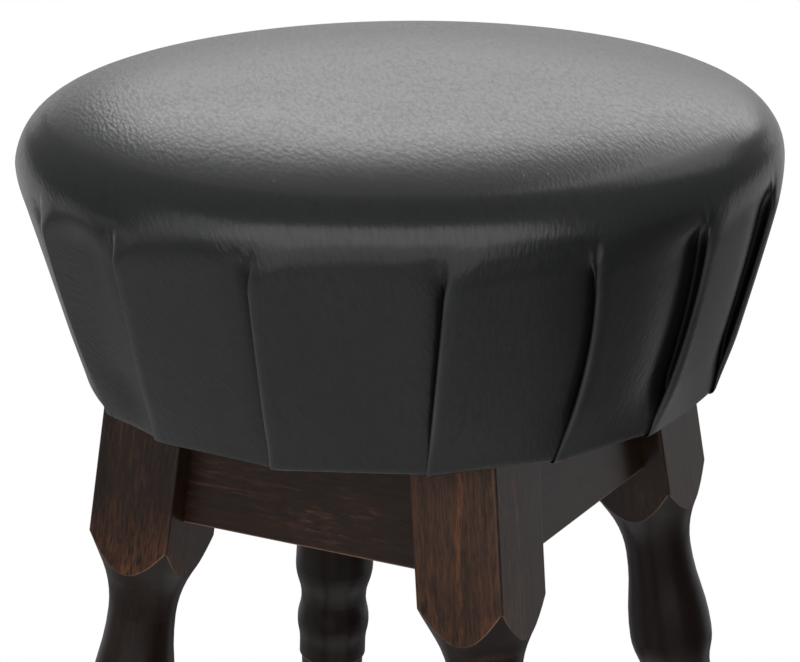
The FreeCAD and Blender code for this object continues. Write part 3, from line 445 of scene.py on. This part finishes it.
def panel_section(length, lift, hollow, width, valley):
    """A panel cut across, from its fold to the bottom of the hollow: shares of the way, offsets and wear.

    The panel bends down softly to its fold. The wear value runs from 1 on the fold's edge, where a highlight
    is painted, to -1 in a deep crease, where shade is painted.
    """
    near = EDGE_REACH / length
    beside_fold = np.linspace(0, near, EDGE_COLUMNS, endpoint=False)
    crowded = np.linspace(0, 1, PANEL_COLUMNS + 1 - EDGE_COLUMNS) ** COLUMN_CROWDING
    s = np.concatenate([beside_fold, near + (1 - near) * crowded])
    sink = np.clip(1 - (1 - s) * length / width, 0, 1) ** 2
    bend = np.clip(1 - s / near, 0, 1) ** 2
    dip = np.clip(1 - (s / VALLEY_MIDDLE - 1) ** 2, 0, 1) ** 2
    offset = lift * (1 - s) ** PANEL_FALL - EDGE_SHARE * lift * bend
    offset = offset - PANEL_FLATTEN * 4 * s * (1 - s) - hollow * sink - valley * dip
    return s, offset, bend - crease_share(hollow) * sink


def crease_share(hollow):
    """How much of a crease a hollow is, from 0 to 1."""
    return min(hollow / CREASE_DEPTH, 1)


def pleat_columns(radius, begin, finish, lifts, tuck, hollow, width, valley):
    """One pleat cut across, from its fold over the panel and under the next fold: angles, offsets and wear
    values for the painted highlight and shade.

    lifts holds how proud this fold and the next one stand; hollow and width shape the dip before the next.
    """
    lift, next_lift = lifts
    next_drop = EDGE_SHARE * next_lift
    roll_end = math.pi / 2 - math.atan(2 * next_drop / EDGE_REACH)
    edge = next_lift - next_drop
    under = max(edge - 2 * FOLD_ROLL, TUCK_LAYER - hollow)
    roll = (edge - under) / (1 + math.sin(roll_end))
    gap = (under + hollow) / 2
    roll_reach, gap_reach = roll / radius, min(gap, FOLD_ROLL) / radius
    panel_begin = begin + roll_reach * (1 - math.cos(roll_end))
    panel_end = finish + tuck / radius
    length = (panel_end - panel_begin) * radius
    s, panel_offset, panel_fold_shading = panel_section(length, lift, hollow, width, valley)
    panel_angle = panel_begin + (panel_end - panel_begin) * s
    turn = np.linspace(-0.5, 0.5, TUCK_COLUMNS + 2)[1:-1] * math.pi
    tuck_angle = panel_end + gap_reach * np.cos(turn)
    tuck_offset = -hollow + gap * (1 + np.sin(turn))
    back_angle = panel_end + (finish + roll_reach - panel_end) * np.linspace(0, 1, UNDER_COLUMNS)
    back_offset = np.full(UNDER_COLUMNS, under)
    turn = np.linspace(-math.pi / 2, roll_end, ROLL_COLUMNS + 2)[1:-1]
    roll_angle = finish + roll_reach - roll_reach * np.cos(turn)
    roll_offset = under + roll * (1 + np.sin(turn))
    # The tucked-under columns get the painted crease shade
    hidden_crease_shade = np.full(TUCK_COLUMNS + UNDER_COLUMNS, -crease_share(hollow))
    angles = np.concatenate([panel_angle, tuck_angle, back_angle, roll_angle])
    offsets = np.concatenate([panel_offset, tuck_offset, back_offset, roll_offset])
    return angles, offsets, np.concatenate([panel_fold_shading, hidden_crease_shade, np.sin(turn)])


def plain_columns(begin, finish, after):
    """The same columns spread over the cover where it isn't folded; after is the fold past the next one."""
    folds = TUCK_COLUMNS + UNDER_COLUMNS + ROLL_COLUMNS
    margin = FOLD_SHARE / 2
    panel_end = finish - (finish - begin) * margin
    panel = np.linspace(begin + (finish - begin) * margin, panel_end, PANEL_COLUMNS + 1)
    fold = np.linspace(panel_end, finish + (after - finish) * margin, folds + 2)[1:-1]
    return np.concatenate([panel, fold])


def sheet_place(angle, middle, run, radius, folded):
    """Where a point lies on the flat sheet: round the crown's middle, and square to its panel lower down."""
    aside = radius * (angle - middle)
    along = run * math.cos(middle) - aside * math.sin(middle)
    across = run * math.sin(middle) + aside * math.cos(middle)
    return (run * math.cos(angle) * (1 - folded) + folded * along,
            run * math.sin(angle) * (1 - folded) + folded * across)


def cover_row(pleats, row, run):
    """One row of the cover, at a run from the crown's middle: points, places on the sheet, and wear values
    for the painted highlight and shade on the folds.
    """
    radius, folded, hem = row.radius, row.folded, row.hem
    height = row.level - SEAT_BASE
    above_hem = float(smooth(0, HEM_FADE, height))
    swell = above_hem * float(smooth(PLEAT_START, HOLLOW_FULL, height)) * (1 - hem)
    ease = HEM_EASE + (1 - HEM_EASE) * above_hem
    tuck = TUCK_SHARE * (SEAT_RADIUS - radius) + TUCK_LAYER
    turns = [fold_angle(pleat, height) for pleat in pleats]
    turns += [turn + 2 * math.pi for turn in turns[:2]]
    points, sheet, wear = [], [], []
    for k, pleat in enumerate(pleats):
        following = pleats[(k + 1) % PLEAT_COUNT]
        begin, finish, after = turns[k:k + 3]
        lifts = [fold.lift * ease + (HEM_LIFT - fold.lift * ease) * hem for fold in (pleat, following)]
        # worn holds the wear values: a painted highlight on the crests and painted shade in the creases
        angles, offsets, worn = pleat_columns(radius, begin, finish, lifts, tuck, following.hollow * swell,
                                              following.width, pleat.valley * swell)
        wear.extend(worn * folded * (1 - hem))
        angles = plain_columns(begin, finish, after) * (1 - folded) + angles * folded
        offsets = offsets * folded - VINYL * hem
        middle = (begin + finish) / 2
        for angle, offset in zip(angles, offsets):
            reach = radius + offset * row.out
            points.append((reach * math.cos(angle), reach * math.sin(angle), row.level + offset * row.up))
            sheet.append(sheet_place(angle, middle, run, radius, folded))
    return points, sheet, wear


def cover_grid():
    """The cover's points, row by row, where each lies on the flat sheet, and its wear value for the painted
    highlight and shade on the folds.
    """
    pleats = all_pleats()
    grid = []
    run, before = 0.0, (0.0, SEAT_HIGH.z)
    for row in cover_profile():
        run += math.hypot(row.radius - before[0], row.level - before[1])
        before = (row.radius, row.level)
        grid.append(cover_row(pleats, row, run))
    return [np.array(part) for part in zip(*grid)]


def cover_inside(outer_row):
    """Rows that close the padding round the board, from the hem's edge to the middle of the board's top."""
    reaches = np.linalg.norm(outer_row[:, :2], axis=1)
    directions = outer_row[:, :2] / reaches[:, None]
    edge = float(reaches.mean())
    low, high = BOARD_LOW.z - FIT_GAP, BOARD_HIGH.z + FIT_GAP
    wall = BOARD_RADIUS + FIT_GAP
    rows = []
    for radius, level in ((edge, low), (wall, low), (wall, high), (wall / 2, high), (wall / 8, high)):
        rows.append(np.column_stack([directions * radius, np.full(len(directions), level)]))
    return rows


def skin_faces(row_count, columns):
    """Faces of a closed skin: a first point, rows of points round the seat, and a last point."""
    last = 1 + row_count * columns

    def place(row, column):
        return 1 + row * columns + column % columns

    faces = [(0, place(0, c), place(0, c + 1)) for c in range(columns)]
    for r in range(row_count - 1):
        for c in range(columns):
            faces.append((place(r, c), place(r + 1, c), place(r + 1, c + 1), place(r, c + 1)))
    faces += [(last, place(row_count - 1, c + 1), place(row_count - 1, c)) for c in range(columns)]
    return faces


def make_cover():
    """The pleated cover with its padding, one closed skin from the crown round the hem to the board."""
    grid, sheet, wear = cover_grid()
    rows = list(grid) + cover_inside(grid[-1])
    vertices = [(0, 0, SEAT_HIGH.z)] + [tuple(p) for row in rows for p in row]
    vertices.append((0, 0, BOARD_HIGH.z + FIT_GAP))
    cover = make_object("pleated_cover", vertices, skin_faces(len(rows), grid.shape[1]))
    flat = np.array(vertices)[:, :2]
    flat[1:1 + wear.size] = sheet.reshape(-1, 2)
    corner_vertices = np.zeros(len(cover.data.loops), int)
    cover.data.loops.foreach_get("vertex_index", corner_vertices)
    layer = cover.data.uv_layers.new(name="sheet")
    layer.data.foreach_set("uv", flat[corner_vertices].astype(np.float32).ravel())
    # The wear attribute: a painted highlight above 0 on fold crests, painted shade below 0 in creases
    painted_fold_shading = np.zeros(len(vertices), np.float32)
    painted_fold_shading[1:1 + wear.size] = wear.ravel()
    cover.data.attributes.new("wear", "FLOAT", "POINT").data.foreach_set("value", painted_fold_shading)
    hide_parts("seat_cover", "seat_foam")
    return cover


# Staples

def staple_points(middle, turn):
    """The points of one staple's crown, section by section along its wire."""
    along = Vector((math.cos(turn), math.sin(turn), 0))
    across = Vector((-along.y, along.x, 0))
    points = []
    for share, girth in STAPLE_GIRTHS:
        for side, depth in STAPLE_SECTION:
            spot = middle + along * (share * STAPLE_LENGTH) + across * (side * STAPLE_WIRE * girth)
            points.append((spot.x, spot.y, SEAT_BASE - STAPLE_WIRE / 2 * (depth + STAPLE_SINK) * girth))
    return points


def staple_faces(first):
    """The faces of one staple's crown, whose points begin at first."""
    count = len(STAPLE_SECTION)
    end = first + (len(STAPLE_GIRTHS) - 1) * count
    faces = []
    for start in range(first, end, count):
        for corner in range(count):
            a = start + corner
            b = start + (corner + 1) % count
            faces.append((a, a + count, b + count, b))
    faces.append(tuple(first + corner for corner in range(count)))
    faces.append(tuple(end + corner for corner in reversed(range(count))))
    return faces


def make_staples():
    """The staples' flat crowns on the turned-under cover, clear of the leg tops."""
    dice = random.Random(STAPLE_SEED)
    vertices, faces = [], []
    for number in range(STAPLE_COUNT):
        degrees = 360 * number / STAPLE_COUNT + dice.uniform(-STAPLE_WANDER, STAPLE_WANDER)
        if abs(degrees % 90 - 45) < LEG_SECTOR:
            continue
        around = math.radians(degrees)
        turn = around + math.pi / 2 + math.radians(dice.uniform(-STAPLE_SKEW, STAPLE_SKEW))
        reach = STAPLE_RING + dice.uniform(-STAPLE_SCATTER, STAPLE_SCATTER)
        faces += staple_faces(len(vertices))
        vertices += staple_points(Vector((math.cos(around), math.sin(around), 0)) * reach, turn)
    staples = make_object("cover_staples", vertices, faces)
    return staples


# Materials

class Nodes:
    """A node tree that is built a node at a time."""

    def __init__(self, tree):
        self.tree = tree
        tree.nodes.clear()

    def add(self, kind, inputs=None, **settings):
        """A new node with its settings and what goes into it."""
        node = self.tree.nodes.new(f"ShaderNode{kind}")
        for name, setting in settings.items():
            setattr(node, name, setting)
        for socket, amount in (inputs or {}).items():
            self.feed(node.inputs[socket], amount)
        return node

    def feed(self, socket, amount):
        """Give a socket another node's output or a constant."""
        if isinstance(amount, bpy.types.NodeSocket):
            self.tree.links.new(amount, socket)
        else:
            socket.default_value = amount

    def math(self, operation, *amounts):
        """One step of arithmetic on one to three amounts."""
        return self.add("Math", dict(enumerate(amounts)), operation=operation).outputs[0]

    def product(self, first, *others):
        """Several factors multiplied."""
        for other in others:
            first = self.math("MULTIPLY", first, other)
        return first

    def vary(self, factor, change, start):
        """A start that changes with a factor."""
        return self.math("MULTIPLY_ADD", factor, change, start)

    def ramp(self, factor, low, high):
        """A factor stretched so that low becomes 0 and high becomes 1."""
        node = self.add("MapRange", {"Value": factor, "From Min": low, "From Max": high})
        return node.outputs["Result"]

    def mix(self, factor, first, second):
        """One colour laid over another."""
        node = self.add("Mix", {0: factor, 6: first, 7: second}, data_type="RGBA")
        return node.outputs[2]

    def place(self):
        """Where a point lies on its piece."""
        return self.add("TexCoord").outputs["Object"]

    def normal(self):
        """The way the surface faces."""
        return self.add("NewGeometry").outputs["Normal"]

    def axis(self, vector, letter):
        """One coordinate of a vector."""
        return self.add("SeparateXYZ", {0: vector}).outputs[letter]

    def dot(self, vector, other):
        """How far one direction lies along another."""
        return self.add("VectorMath", {0: vector, 1: other}, operation="DOT_PRODUCT").outputs["Value"]

    def distance(self, vector, other):
        """How far one place lies from another."""
        return self.add("VectorMath", {0: vector, 1: other}, operation="DISTANCE").outputs["Value"]

    def noise(self, vector, scale, detail=4.0, roughness=0.55, distortion=0.0):
        """Cloudy noise between 0 and 1."""
        node = self.add("TexNoise", {"Vector": vector, "Scale": scale, "Detail": detail,
                                     "Roughness": roughness, "Distortion": distortion})
        return node.outputs["Fac"]

    def grain(self, vector, across, along, *settings):
        """Noise drawn out along Z, with so many waves per metre across it and along it."""
        return self.noise(self.stretch(vector, (across, across, along)), 1.0, *settings)

    def stretch(self, vector, scale, rotation=(0, 0, 0), location=(0, 0, 0)):
        """A place scaled, turned and shifted."""
        node = self.add("Mapping", {"Vector": vector, "Scale": scale, "Rotation": rotation,
                                    "Location": location})
        return node.outputs["Vector"]

    def turned(self, vector, rotation, location=(0, 0, 0)):
        """A place turned and shifted."""
        return self.stretch(vector, (1, 1, 1), rotation, location)

    def bump(self, height, strength, distance, normal=None):
        """The way a surface faces with small heights on it."""
        inputs = {"Height": height, "Strength": strength, "Distance": distance}
        if normal:
            inputs["Normal"] = normal
        return self.add("Bump", inputs).outputs["Normal"]


def new_material(name):
    """An empty material and its nodes."""
    material = bpy.data.materials.new(name)
    material.use_nodes = True
    return material, Nodes(material.node_tree)


def finish_surface(nodes, **inputs):
    """The surface at the end of a material's nodes."""
    surface = nodes.add("BsdfPrincipled", {name.replace("_", " "): amount for name, amount in inputs.items()})
    nodes.add("OutputMaterial", {"Surface": surface.outputs["BSDF"]})


def rounded_edges(nodes, reach):
    """The way a surface faces with its sharp edges eased, and how near it is to one, from 0 to 1."""
    rounded = nodes.add("Bevel", {"Radius": reach}, samples=EDGE_SAMPLES).outputs["Normal"]
    return rounded, nodes.ramp(nodes.dot(rounded, nodes.normal()), *EDGE_TURN)


def vinyl_pebbles(nodes, sheet):
    """Long fine pebbles pressed into the sheet along its grain."""
    warp = nodes.add("TexNoise", {"Vector": sheet, "Scale": WARP_WAVES, "Detail": WARP_DETAIL})
    small_warp = nodes.add("VectorMath", {0: warp.outputs["Color"], "Scale": WARP_REACH},
                           operation="SCALE").outputs["Vector"]
    warped = nodes.add("VectorMath", {0: sheet, 1: small_warp}, operation="ADD").outputs["Vector"]
    pebbled = nodes.stretch(nodes.turned(warped, (0, 0, -GRAIN_DIRECTION)), PEBBLES)
    return nodes.add("TexVoronoi", {"Vector": pebbled, "Scale": 1.0, "Smoothness": PEBBLE_SOFTNESS},
                     feature="SMOOTH_F1").outputs["Distance"]


def make_vinyl():
    """Black grained vinyl with a satin gloss, with a painted highlight on the folds' edges and painted shade,
    dark and dull, in the creases.
    """
    material, nodes = new_material("black_vinyl")
    sheet = nodes.add("UVMap", uv_map="sheet").outputs["UV"]
    place = nodes.place()
    pebbles = vinyl_pebbles(nodes, sheet)
    grain = nodes.vary(nodes.noise(sheet, *FINE_NOISE), FINE_SHARE, pebbles)
    normal = nodes.bump(grain, *PEBBLE_BUMP)
    normal = nodes.bump(nodes.noise(place, *SLACK_NOISE), *SLACK_BUMP, normal)
    tone = nodes.noise(place, *TONE_NOISE)
    colour = nodes.mix(tone, VINYL_DARK, VINYL_LIGHT)
    colour = nodes.mix(nodes.ramp(pebbles, *PEBBLE_EDGES), colour, VINYL_DARK)
    # The wear attribute sets a painted highlight on the crests and painted shade in the creases
    wear = nodes.add("Attribute", attribute_name="wear").outputs["Fac"]
    # Painted highlight along the folds' crests
    painted_fold_shading = nodes.math("POWER", nodes.ramp(wear, 0, 1), CREST_HIGHLIGHT_POWER)
    colour = nodes.mix(nodes.product(painted_fold_shading, nodes.ramp(tone, *CREST_HIGHLIGHT_TONES)), colour, VINYL_CREST_HIGHLIGHT)
    # Painted shade in the creases, darker and duller
    crease_shade = nodes.ramp(wear, *CREASE_SHADE_RANGE)
    colour = nodes.mix(crease_shade, colour, VINYL_CREASE_SHADE)
    gloss = nodes.vary(pebbles, PEBBLE_GLOSS, nodes.vary(tone, TONE_GLOSS, VINYL_GLOSS))
    shine = nodes.vary(nodes.ramp(grain, *GRAIN_RANGE), GRAIN_DULLING, VINYL_SHINE)
    shine = nodes.product(shine, nodes.vary(crease_shade, CREASE_SHADE_DULLING, 1.0))
    finish_surface(nodes, Base_Color=colour, Roughness=gloss, Normal=normal, IOR=VINYL_IOR,
                   Specular_IOR_Level=shine)
    return material


class StainedWood:
    """Dark stained beech under satin lacquer, its grain along the turned Z axis, built up layer by layer."""

    def __init__(self, name, rotation, seed):
        """The plain stain, whose figure is shifted by chance."""
        self.material, self.nodes = new_material(name)
        nodes = self.nodes
        dice = random.Random(seed)
        shift = [dice.uniform(-WOOD_SHIFT, WOOD_SHIFT) for _ in range(3)]
        self.place = nodes.place()
        self.upright = nodes.turned(self.place, rotation)
        self.along = nodes.turned(self.place, rotation, shift)
        self.noises = {kind: nodes.grain(self.along, *waves) for kind, waves in WOOD_NOISES.items()}
        self.figure = 0.0
        for kind, share in FIGURE_SHARES.items():
            self.figure = nodes.vary(self.noises[kind], share, self.figure)
        self.colour = nodes.mix(nodes.ramp(self.figure, *FIGURE_RANGE), STAIN_DARK, STAIN_LIGHT)
        self.shine = WOOD_SHINE

    def lay(self, colour, *shares):
        """Lay a colour over what is there, as strongly as all the shares allow."""
        self.colour = self.nodes.mix(self.nodes.product(*shares), self.colour, colour)

    def between(self, kind, limits):
        """One of the noises stretched between two limits."""
        return self.nodes.ramp(self.noises[kind], *limits)

    def lighten_front(self, share, line):
        """Lighten the front face of a leg's square top, most of all in a streak that wanders along a line."""
        nodes = self.nodes
        faces = nodes.ramp(nodes.axis(nodes.normal(), "Y"), *LIGHTER_FACES)
        high = nodes.ramp(nodes.axis(self.place, "Z"), *LIGHTER_LEVELS)
        lighter_front = nodes.product(faces, high, share)
        across = nodes.axis(self.upright, "X")
        wander = nodes.vary(nodes.noise(self.along, *STREAK_NOISE), STREAK_WANDER, across)
        aside = nodes.math("ABSOLUTE", nodes.math("SUBTRACT", wander, line))
        self.lay(STAIN_LIGHTER_FRONT, lighter_front, nodes.ramp(self.figure, *LIGHTER_FIGURE))
        self.lay(STAIN_STREAK, lighter_front, nodes.ramp(aside, *STREAK_WIDTH),
                 self.between("dashes", STREAK_DASHES))

    def wear(self):
        """Scatter worn flecks and pale veins."""
        self.lay(STAIN_WORN, self.between("patches", WORN_PATCHES), self.between("flecks", WORN_FLECKS))
        self.lay(STAIN_WORN, self.between("veins", VEIN_RANGE), self.between("dashes", VEIN_DASHES))

    def deepen_and_shade(self, tip_wear):
        """Rub the tips of a leg's square parts, and darken its round parts below the square top and its
        leaning faces, partly as deeper stain and partly as painted shade under the seat.
        """
        nodes = self.nodes
        level = nodes.axis(self.place, "Z")
        self.lay(STAIN_TIP, nodes.ramp(level, *TIP_LEVELS), self.between("patches", TIP_PATCHES),
                 self.between("dashes", TIP_DASHES), tip_wear)
        # Below the square top and away from the lower square, darker and duller: partly deeper stain, partly
        # painted shade under the seat
        below_top = nodes.ramp(level, SQUARE_END, SQUARE_END - SQUARE_FADE)
        away = nodes.math("ABSOLUTE", nodes.math("SUBTRACT", level, FOOTREST))
        off_block = nodes.ramp(away, LOWER_SQUARE, LOWER_SQUARE + SQUARE_FADE)
        off_squares = nodes.math("MINIMUM", below_top, off_block)
        lean = nodes.math("ABSOLUTE", nodes.axis(nodes.normal(), "Z"))
        rounded = nodes.math("MAXIMUM", off_squares, nodes.ramp(lean, *ROUND_LEAN))
        deep_and_shaded = nodes.product(rounded, DEEP_AND_SHADE_SHARE)
        self.lay(STAIN_DEEP_AND_SHADE, deep_and_shaded)
        self.shine = nodes.vary(deep_and_shaded, DEEP_AND_SHADE_DULLING, WOOD_SHINE)

    def finish(self, jointed=None):
        """Close with pores, worn edges and lacquer; ends that are jointed, in that direction, aren't worn."""
        nodes = self.nodes
        self.lay(STAIN_PORE, self.between("pores", PORE_RANGE))
        rounded, near = rounded_edges(nodes, EDGE_EASE)
        if jointed is not None:
            endwise = nodes.math("ABSOLUTE", nodes.dot(rounded, jointed))
            near = nodes.product(near, nodes.ramp(endwise, *JOINT_ENDS))
        self.lay(STAIN_EDGE, near, nodes.ramp(nodes.noise(self.along, *EDGE_NOISE), *EDGE_PATCHES))
        gloss = nodes.vary(self.noises["patches"], PATCH_GLOSS, WOOD_GLOSS)
        height = nodes.vary(self.noises["pores"], PORE_DEPTH, self.noises["lines"])
        finish_surface(nodes, Base_Color=self.colour, Roughness=gloss, IOR=LACQUER_IOR,
                       Normal=nodes.bump(height, *WOOD_BUMP, rounded), Specular_IOR_Level=self.shine)
        return self.material


def make_raw_wood(name, rotation, light, dark, seed):
    """Bare wood with fine straight grain."""
    material, nodes = new_material(name)
    along = nodes.turned(nodes.place(), rotation, [part * seed for part in RAW_SHIFT])
    bands = nodes.grain(along, *RAW_BANDS)
    flecks = nodes.grain(along, *RAW_FLECKS)
    colour = nodes.mix(nodes.ramp(bands, *RAW_BAND_RANGE), light, dark)
    colour = nodes.mix(nodes.ramp(flecks, *RAW_FLECK_RANGE), colour, dark)
    normal = nodes.bump(nodes.math("ADD", bands, flecks), *RAW_BUMP)
    gloss = nodes.vary(bands, RAW_BAND_GLOSS, RAW_GLOSS)
    finish_surface(nodes, Base_Color=colour, Roughness=gloss, Normal=normal)
    return material


def make_metal():
    """Dull zinc plating, finely spotted."""
    material, nodes = new_material("zinc")
    spots = nodes.noise(nodes.place(), *ZINC_NOISE)
    finish_surface(nodes, Base_Color=nodes.mix(spots, ZINC_DARK, ZINC_LIGHT), Metallic=1.0,
                   Roughness=nodes.vary(spots, SPOT_GLOSS, ZINC_GLOSS), Normal=nodes.bump(spots, *ZINC_BUMP))
    return material


def make_plastic():
    """Moulded black plastic, scuffed where it meets the floor."""
    material, nodes = new_material("glide_plastic")
    scuffs = nodes.noise(nodes.stretch(nodes.place(), SCUFF_WAVES), *SCUFF_NOISE)
    colour = nodes.mix(nodes.ramp(scuffs, *SCUFF_RANGE), PLASTIC_BLACK, PLASTIC_SCUFFED)
    finish_surface(nodes, Base_Color=colour, Roughness=nodes.vary(scuffs, SCUFF_GLOSS, PLASTIC_GLOSS),
                   Normal=nodes.bump(scuffs, *SCUFF_BUMP))
    return material


# Painting

def paint(thing, material):
    """Give a thing one material."""
    thing.data.materials.clear()
    thing.data.materials.append(material)


def corner_signs(corner):
    """Which way a corner lies from the middle, along X and along Y."""
    x_sign = 1 if corner.endswith("right") else -1
    y_sign = -1 if corner.startswith("front") else 1
    return x_sign, y_sign


def upright_turn(direction):
    """The turn that brings a direction upright."""
    return direction.rotation_difference(UP).to_euler()


def leg_axis(corner):
    """A leg's direction from its foot to its top."""
    low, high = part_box(f"leg_{corner}")
    x_sign, y_sign = corner_signs(corner)
    spread = (max(abs(low.x), abs(high.x)) - FOOT_HALF - LEG_TOP_REACH) / (high.z - low.z)
    return Vector((-x_sign * spread, -y_sign * spread, 1)).normalized()


def paint_legs():
    """Stained legs, one with a lighter front face at its top, and the front two with worn tips on their
    square parts.
    """
    for seed, corner in enumerate(CORNERS, start=LEG_SEED):
        turn = upright_turn(leg_axis(corner))
        wood = StainedWood(f"stained_leg_{corner}", turn, seed)
        if corner == LIGHTER_FACED_LEG:
            foot = Vector([sign * LEG_FOOT_REACH for sign in corner_signs(corner)] + [0])
            wood.lighten_front(FRONT_LIGHTENING, (turn.to_matrix() @ foot).x + STREAK_ASIDE)
        wood.wear()
        wood.deepen_and_shade(TIP_WEAR.get(corner, 0))
        paint(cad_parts[f"leg_{corner}"], wood.finish())


def paint_rails():
    """Stained rails and stretchers, whose ends are hidden against the legs."""
    for number, side in enumerate(SIDES):
        along = Vector((1, 0, 0)) if side in ("front", "rear") else Vector((0, 1, 0))
        for kind, seed in (("rail", RAIL_SEED), ("stretcher", STRETCHER_SEED)):
            wood = StainedWood(f"stained_{kind}_{side}", upright_turn(along), seed + number)
            wood.wear()
            paint(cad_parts[f"{kind}_{side}"], wood.finish(jointed=along))


def paint_raw_wood():
    """Bare corner blocks, board and dowels."""
    for seed, corner in enumerate(CORNERS, start=BLOCK_SEED):
        x_sign, y_sign = corner_signs(corner)
        turn = upright_turn(Vector((x_sign, -y_sign, 0)).normalized())
        beech = make_raw_wood(f"beech_{corner}", turn, BEECH_LIGHT, BEECH_DARK, seed)
        paint(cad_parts[f"corner_block_{corner}"], beech)
    flat = upright_turn(Vector((1, 0, 0)))
    plywood = make_raw_wood("plywood", flat, PLYWOOD_LIGHT, PLYWOOD_DARK, BOARD_SEED)
    paint(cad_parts["seat_board"], plywood)
    dowel = make_raw_wood("dowel_beech", flat, BEECH_LIGHT, BEECH_DARK, DOWEL_SEED)
    for name in ("rail_dowels", "stretcher_dowels"):
        paint(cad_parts[name], dowel)


def paint_fittings(metal):
    """Zinc screws and plastic glides."""
    for name in ("seat_screws", "block_screws"):
        paint(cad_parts[name], metal)
    paint(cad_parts["floor_glides"], make_plastic())


# Stage

def floor_glow(nodes, place):
    """How bright the floor is in reflections, in a disc under the stool and a smaller one behind it."""
    glow = 0.0
    for middle, (outer, inner, strength) in ((FAR_PLACE, FAR_GLOW), (UNDER_PLACE, UNDER_GLOW)):
        glow = nodes.vary(nodes.ramp(nodes.distance(place, middle), outer, inner), strength, glow)
    return nodes.product(nodes.add("LightPath").outputs["Is Glossy Ray"], glow)


def make_floor():
    """A pale floor that fades into the white behind it and is brighter in reflections."""
    bpy.ops.mesh.primitive_circle_add(vertices=FLOOR_CORNERS, radius=FLOOR_RADIUS, fill_type="NGON")
    floor = bpy.context.object
    floor.name = "floor"
    material, nodes = new_material("pale_floor")
    place = nodes.place()
    colour = nodes.mix(nodes.noise(place, *FLOOR_NOISE), FLOOR_DARK, FLOOR_LIGHT)
    matte = nodes.add("BsdfDiffuse", {"Color": colour}).outputs["BSDF"]
    clear = nodes.add("BsdfTransparent").outputs["BSDF"]
    away = nodes.distance(place, FLOOR_MIDDLE)
    fade = nodes.add("MapRange", {"Value": away, "From Min": FLOOR_PLAIN, "From Max": FLOOR_END},
                     interpolation_type="SMOOTHSTEP").outputs["Result"]
    surface = nodes.add("MixShader", {0: fade, 1: matte, 2: clear}).outputs["Shader"]
    glow = nodes.add("Emission", {"Color": WHITE, "Strength": floor_glow(nodes, place)}).outputs["Emission"]
    surface = nodes.add("AddShader", {0: surface, 1: glow}).outputs["Shader"]
    nodes.add("OutputMaterial", {"Surface": surface})
    material.cycles.emission_sampling = "NONE"
    paint(floor, material)


def make_world():
    """White behind the stool, and a dimmer room round it for its light and reflections."""
    world = bpy.data.worlds.new("studio")
    world.use_nodes = True
    bpy.context.scene.world = world
    nodes = Nodes(world.node_tree)
    way = nodes.add("TexCoord").outputs["Generated"]
    height = nodes.axis(way, "Z")
    air = nodes.mix(nodes.ramp(height, *AIR_HEIGHTS), AIR_LOW, AIR_HIGH)
    ground = GROUND
    for patch in GROUND_PATCHES:
        shares = [nodes.ramp(height, *limits) for limits in patch.heights]
        share = nodes.product(nodes.ramp(nodes.dot(way, patch.side), *patch.reach), *shares)
        ground = nodes.mix(share, ground, patch.colour)
    colour = nodes.mix(nodes.ramp(height, *HORIZON), air, ground)
    room = nodes.add("Background", {"Color": colour, "Strength": 1.0}).outputs["Background"]
    white = nodes.add("Background", {"Color": WHITE, "Strength": 1.0}).outputs["Background"]
    seen = nodes.add("LightPath").outputs["Is Camera Ray"]
    surface = nodes.add("MixShader", {0: seen, 1: room, 2: white}).outputs["Shader"]
    nodes.add("OutputWorld", {"Surface": surface})


def make_light(box):
    """A studio light that, seen from the seat, fills its band of elevations and its spread of directions."""
    bottom, top = (LIGHT_DISTANCE * math.tan(math.radians(angle)) for angle in (box.low, box.high))
    light = bpy.data.lights.new(box.name, "AREA")
    light.shape = "RECTANGLE"
    light.size = 2 * LIGHT_DISTANCE * math.tan(math.radians(box.spread / 2))
    light.size_y = top - bottom
    light.energy = box.glow * math.pi * light.size * light.size_y
    around = math.radians(VIEWER_ANGLE + box.direction)
    outward = Vector((math.cos(around), math.sin(around), 0))
    thing = bpy.data.objects.new(box.name, light)
    thing.location = outward * LIGHT_DISTANCE + UP * (SEAT_HIGH.z + (bottom + top) / 2)
    thing.rotation_euler = (-outward).to_track_quat("-Z", "Y").to_euler()
    bpy.context.scene.collection.objects.link(thing)


def make_camera():
    """The photograph's view."""
    camera = bpy.data.cameras.new("camera")
    camera.lens = CAMERA_LENS
    camera.sensor_width = CAMERA_SENSOR
    thing = bpy.data.objects.new("camera", camera)
    look = (CAMERA_AIM - CAMERA_PLACE).to_track_quat("-Z", "Y").to_matrix().to_4x4()
    thing.matrix_world = Matrix.Translation(CAMERA_PLACE) @ look @ Matrix.Rotation(CAMERA_ROLL, 4, "Z")
    bpy.context.scene.collection.objects.link(thing)
    bpy.context.scene.camera = thing


metal = make_metal()
paint_legs()
paint_rails()
paint_raw_wood()
paint_fittings(metal)
paint(make_cover(), make_vinyl())
paint(make_staples(), metal)
make_floor()
make_world()
for box in SOFTBOXES:
    make_light(box)
make_camera()
bpy.context.scene.view_settings.view_transform = "Standard"
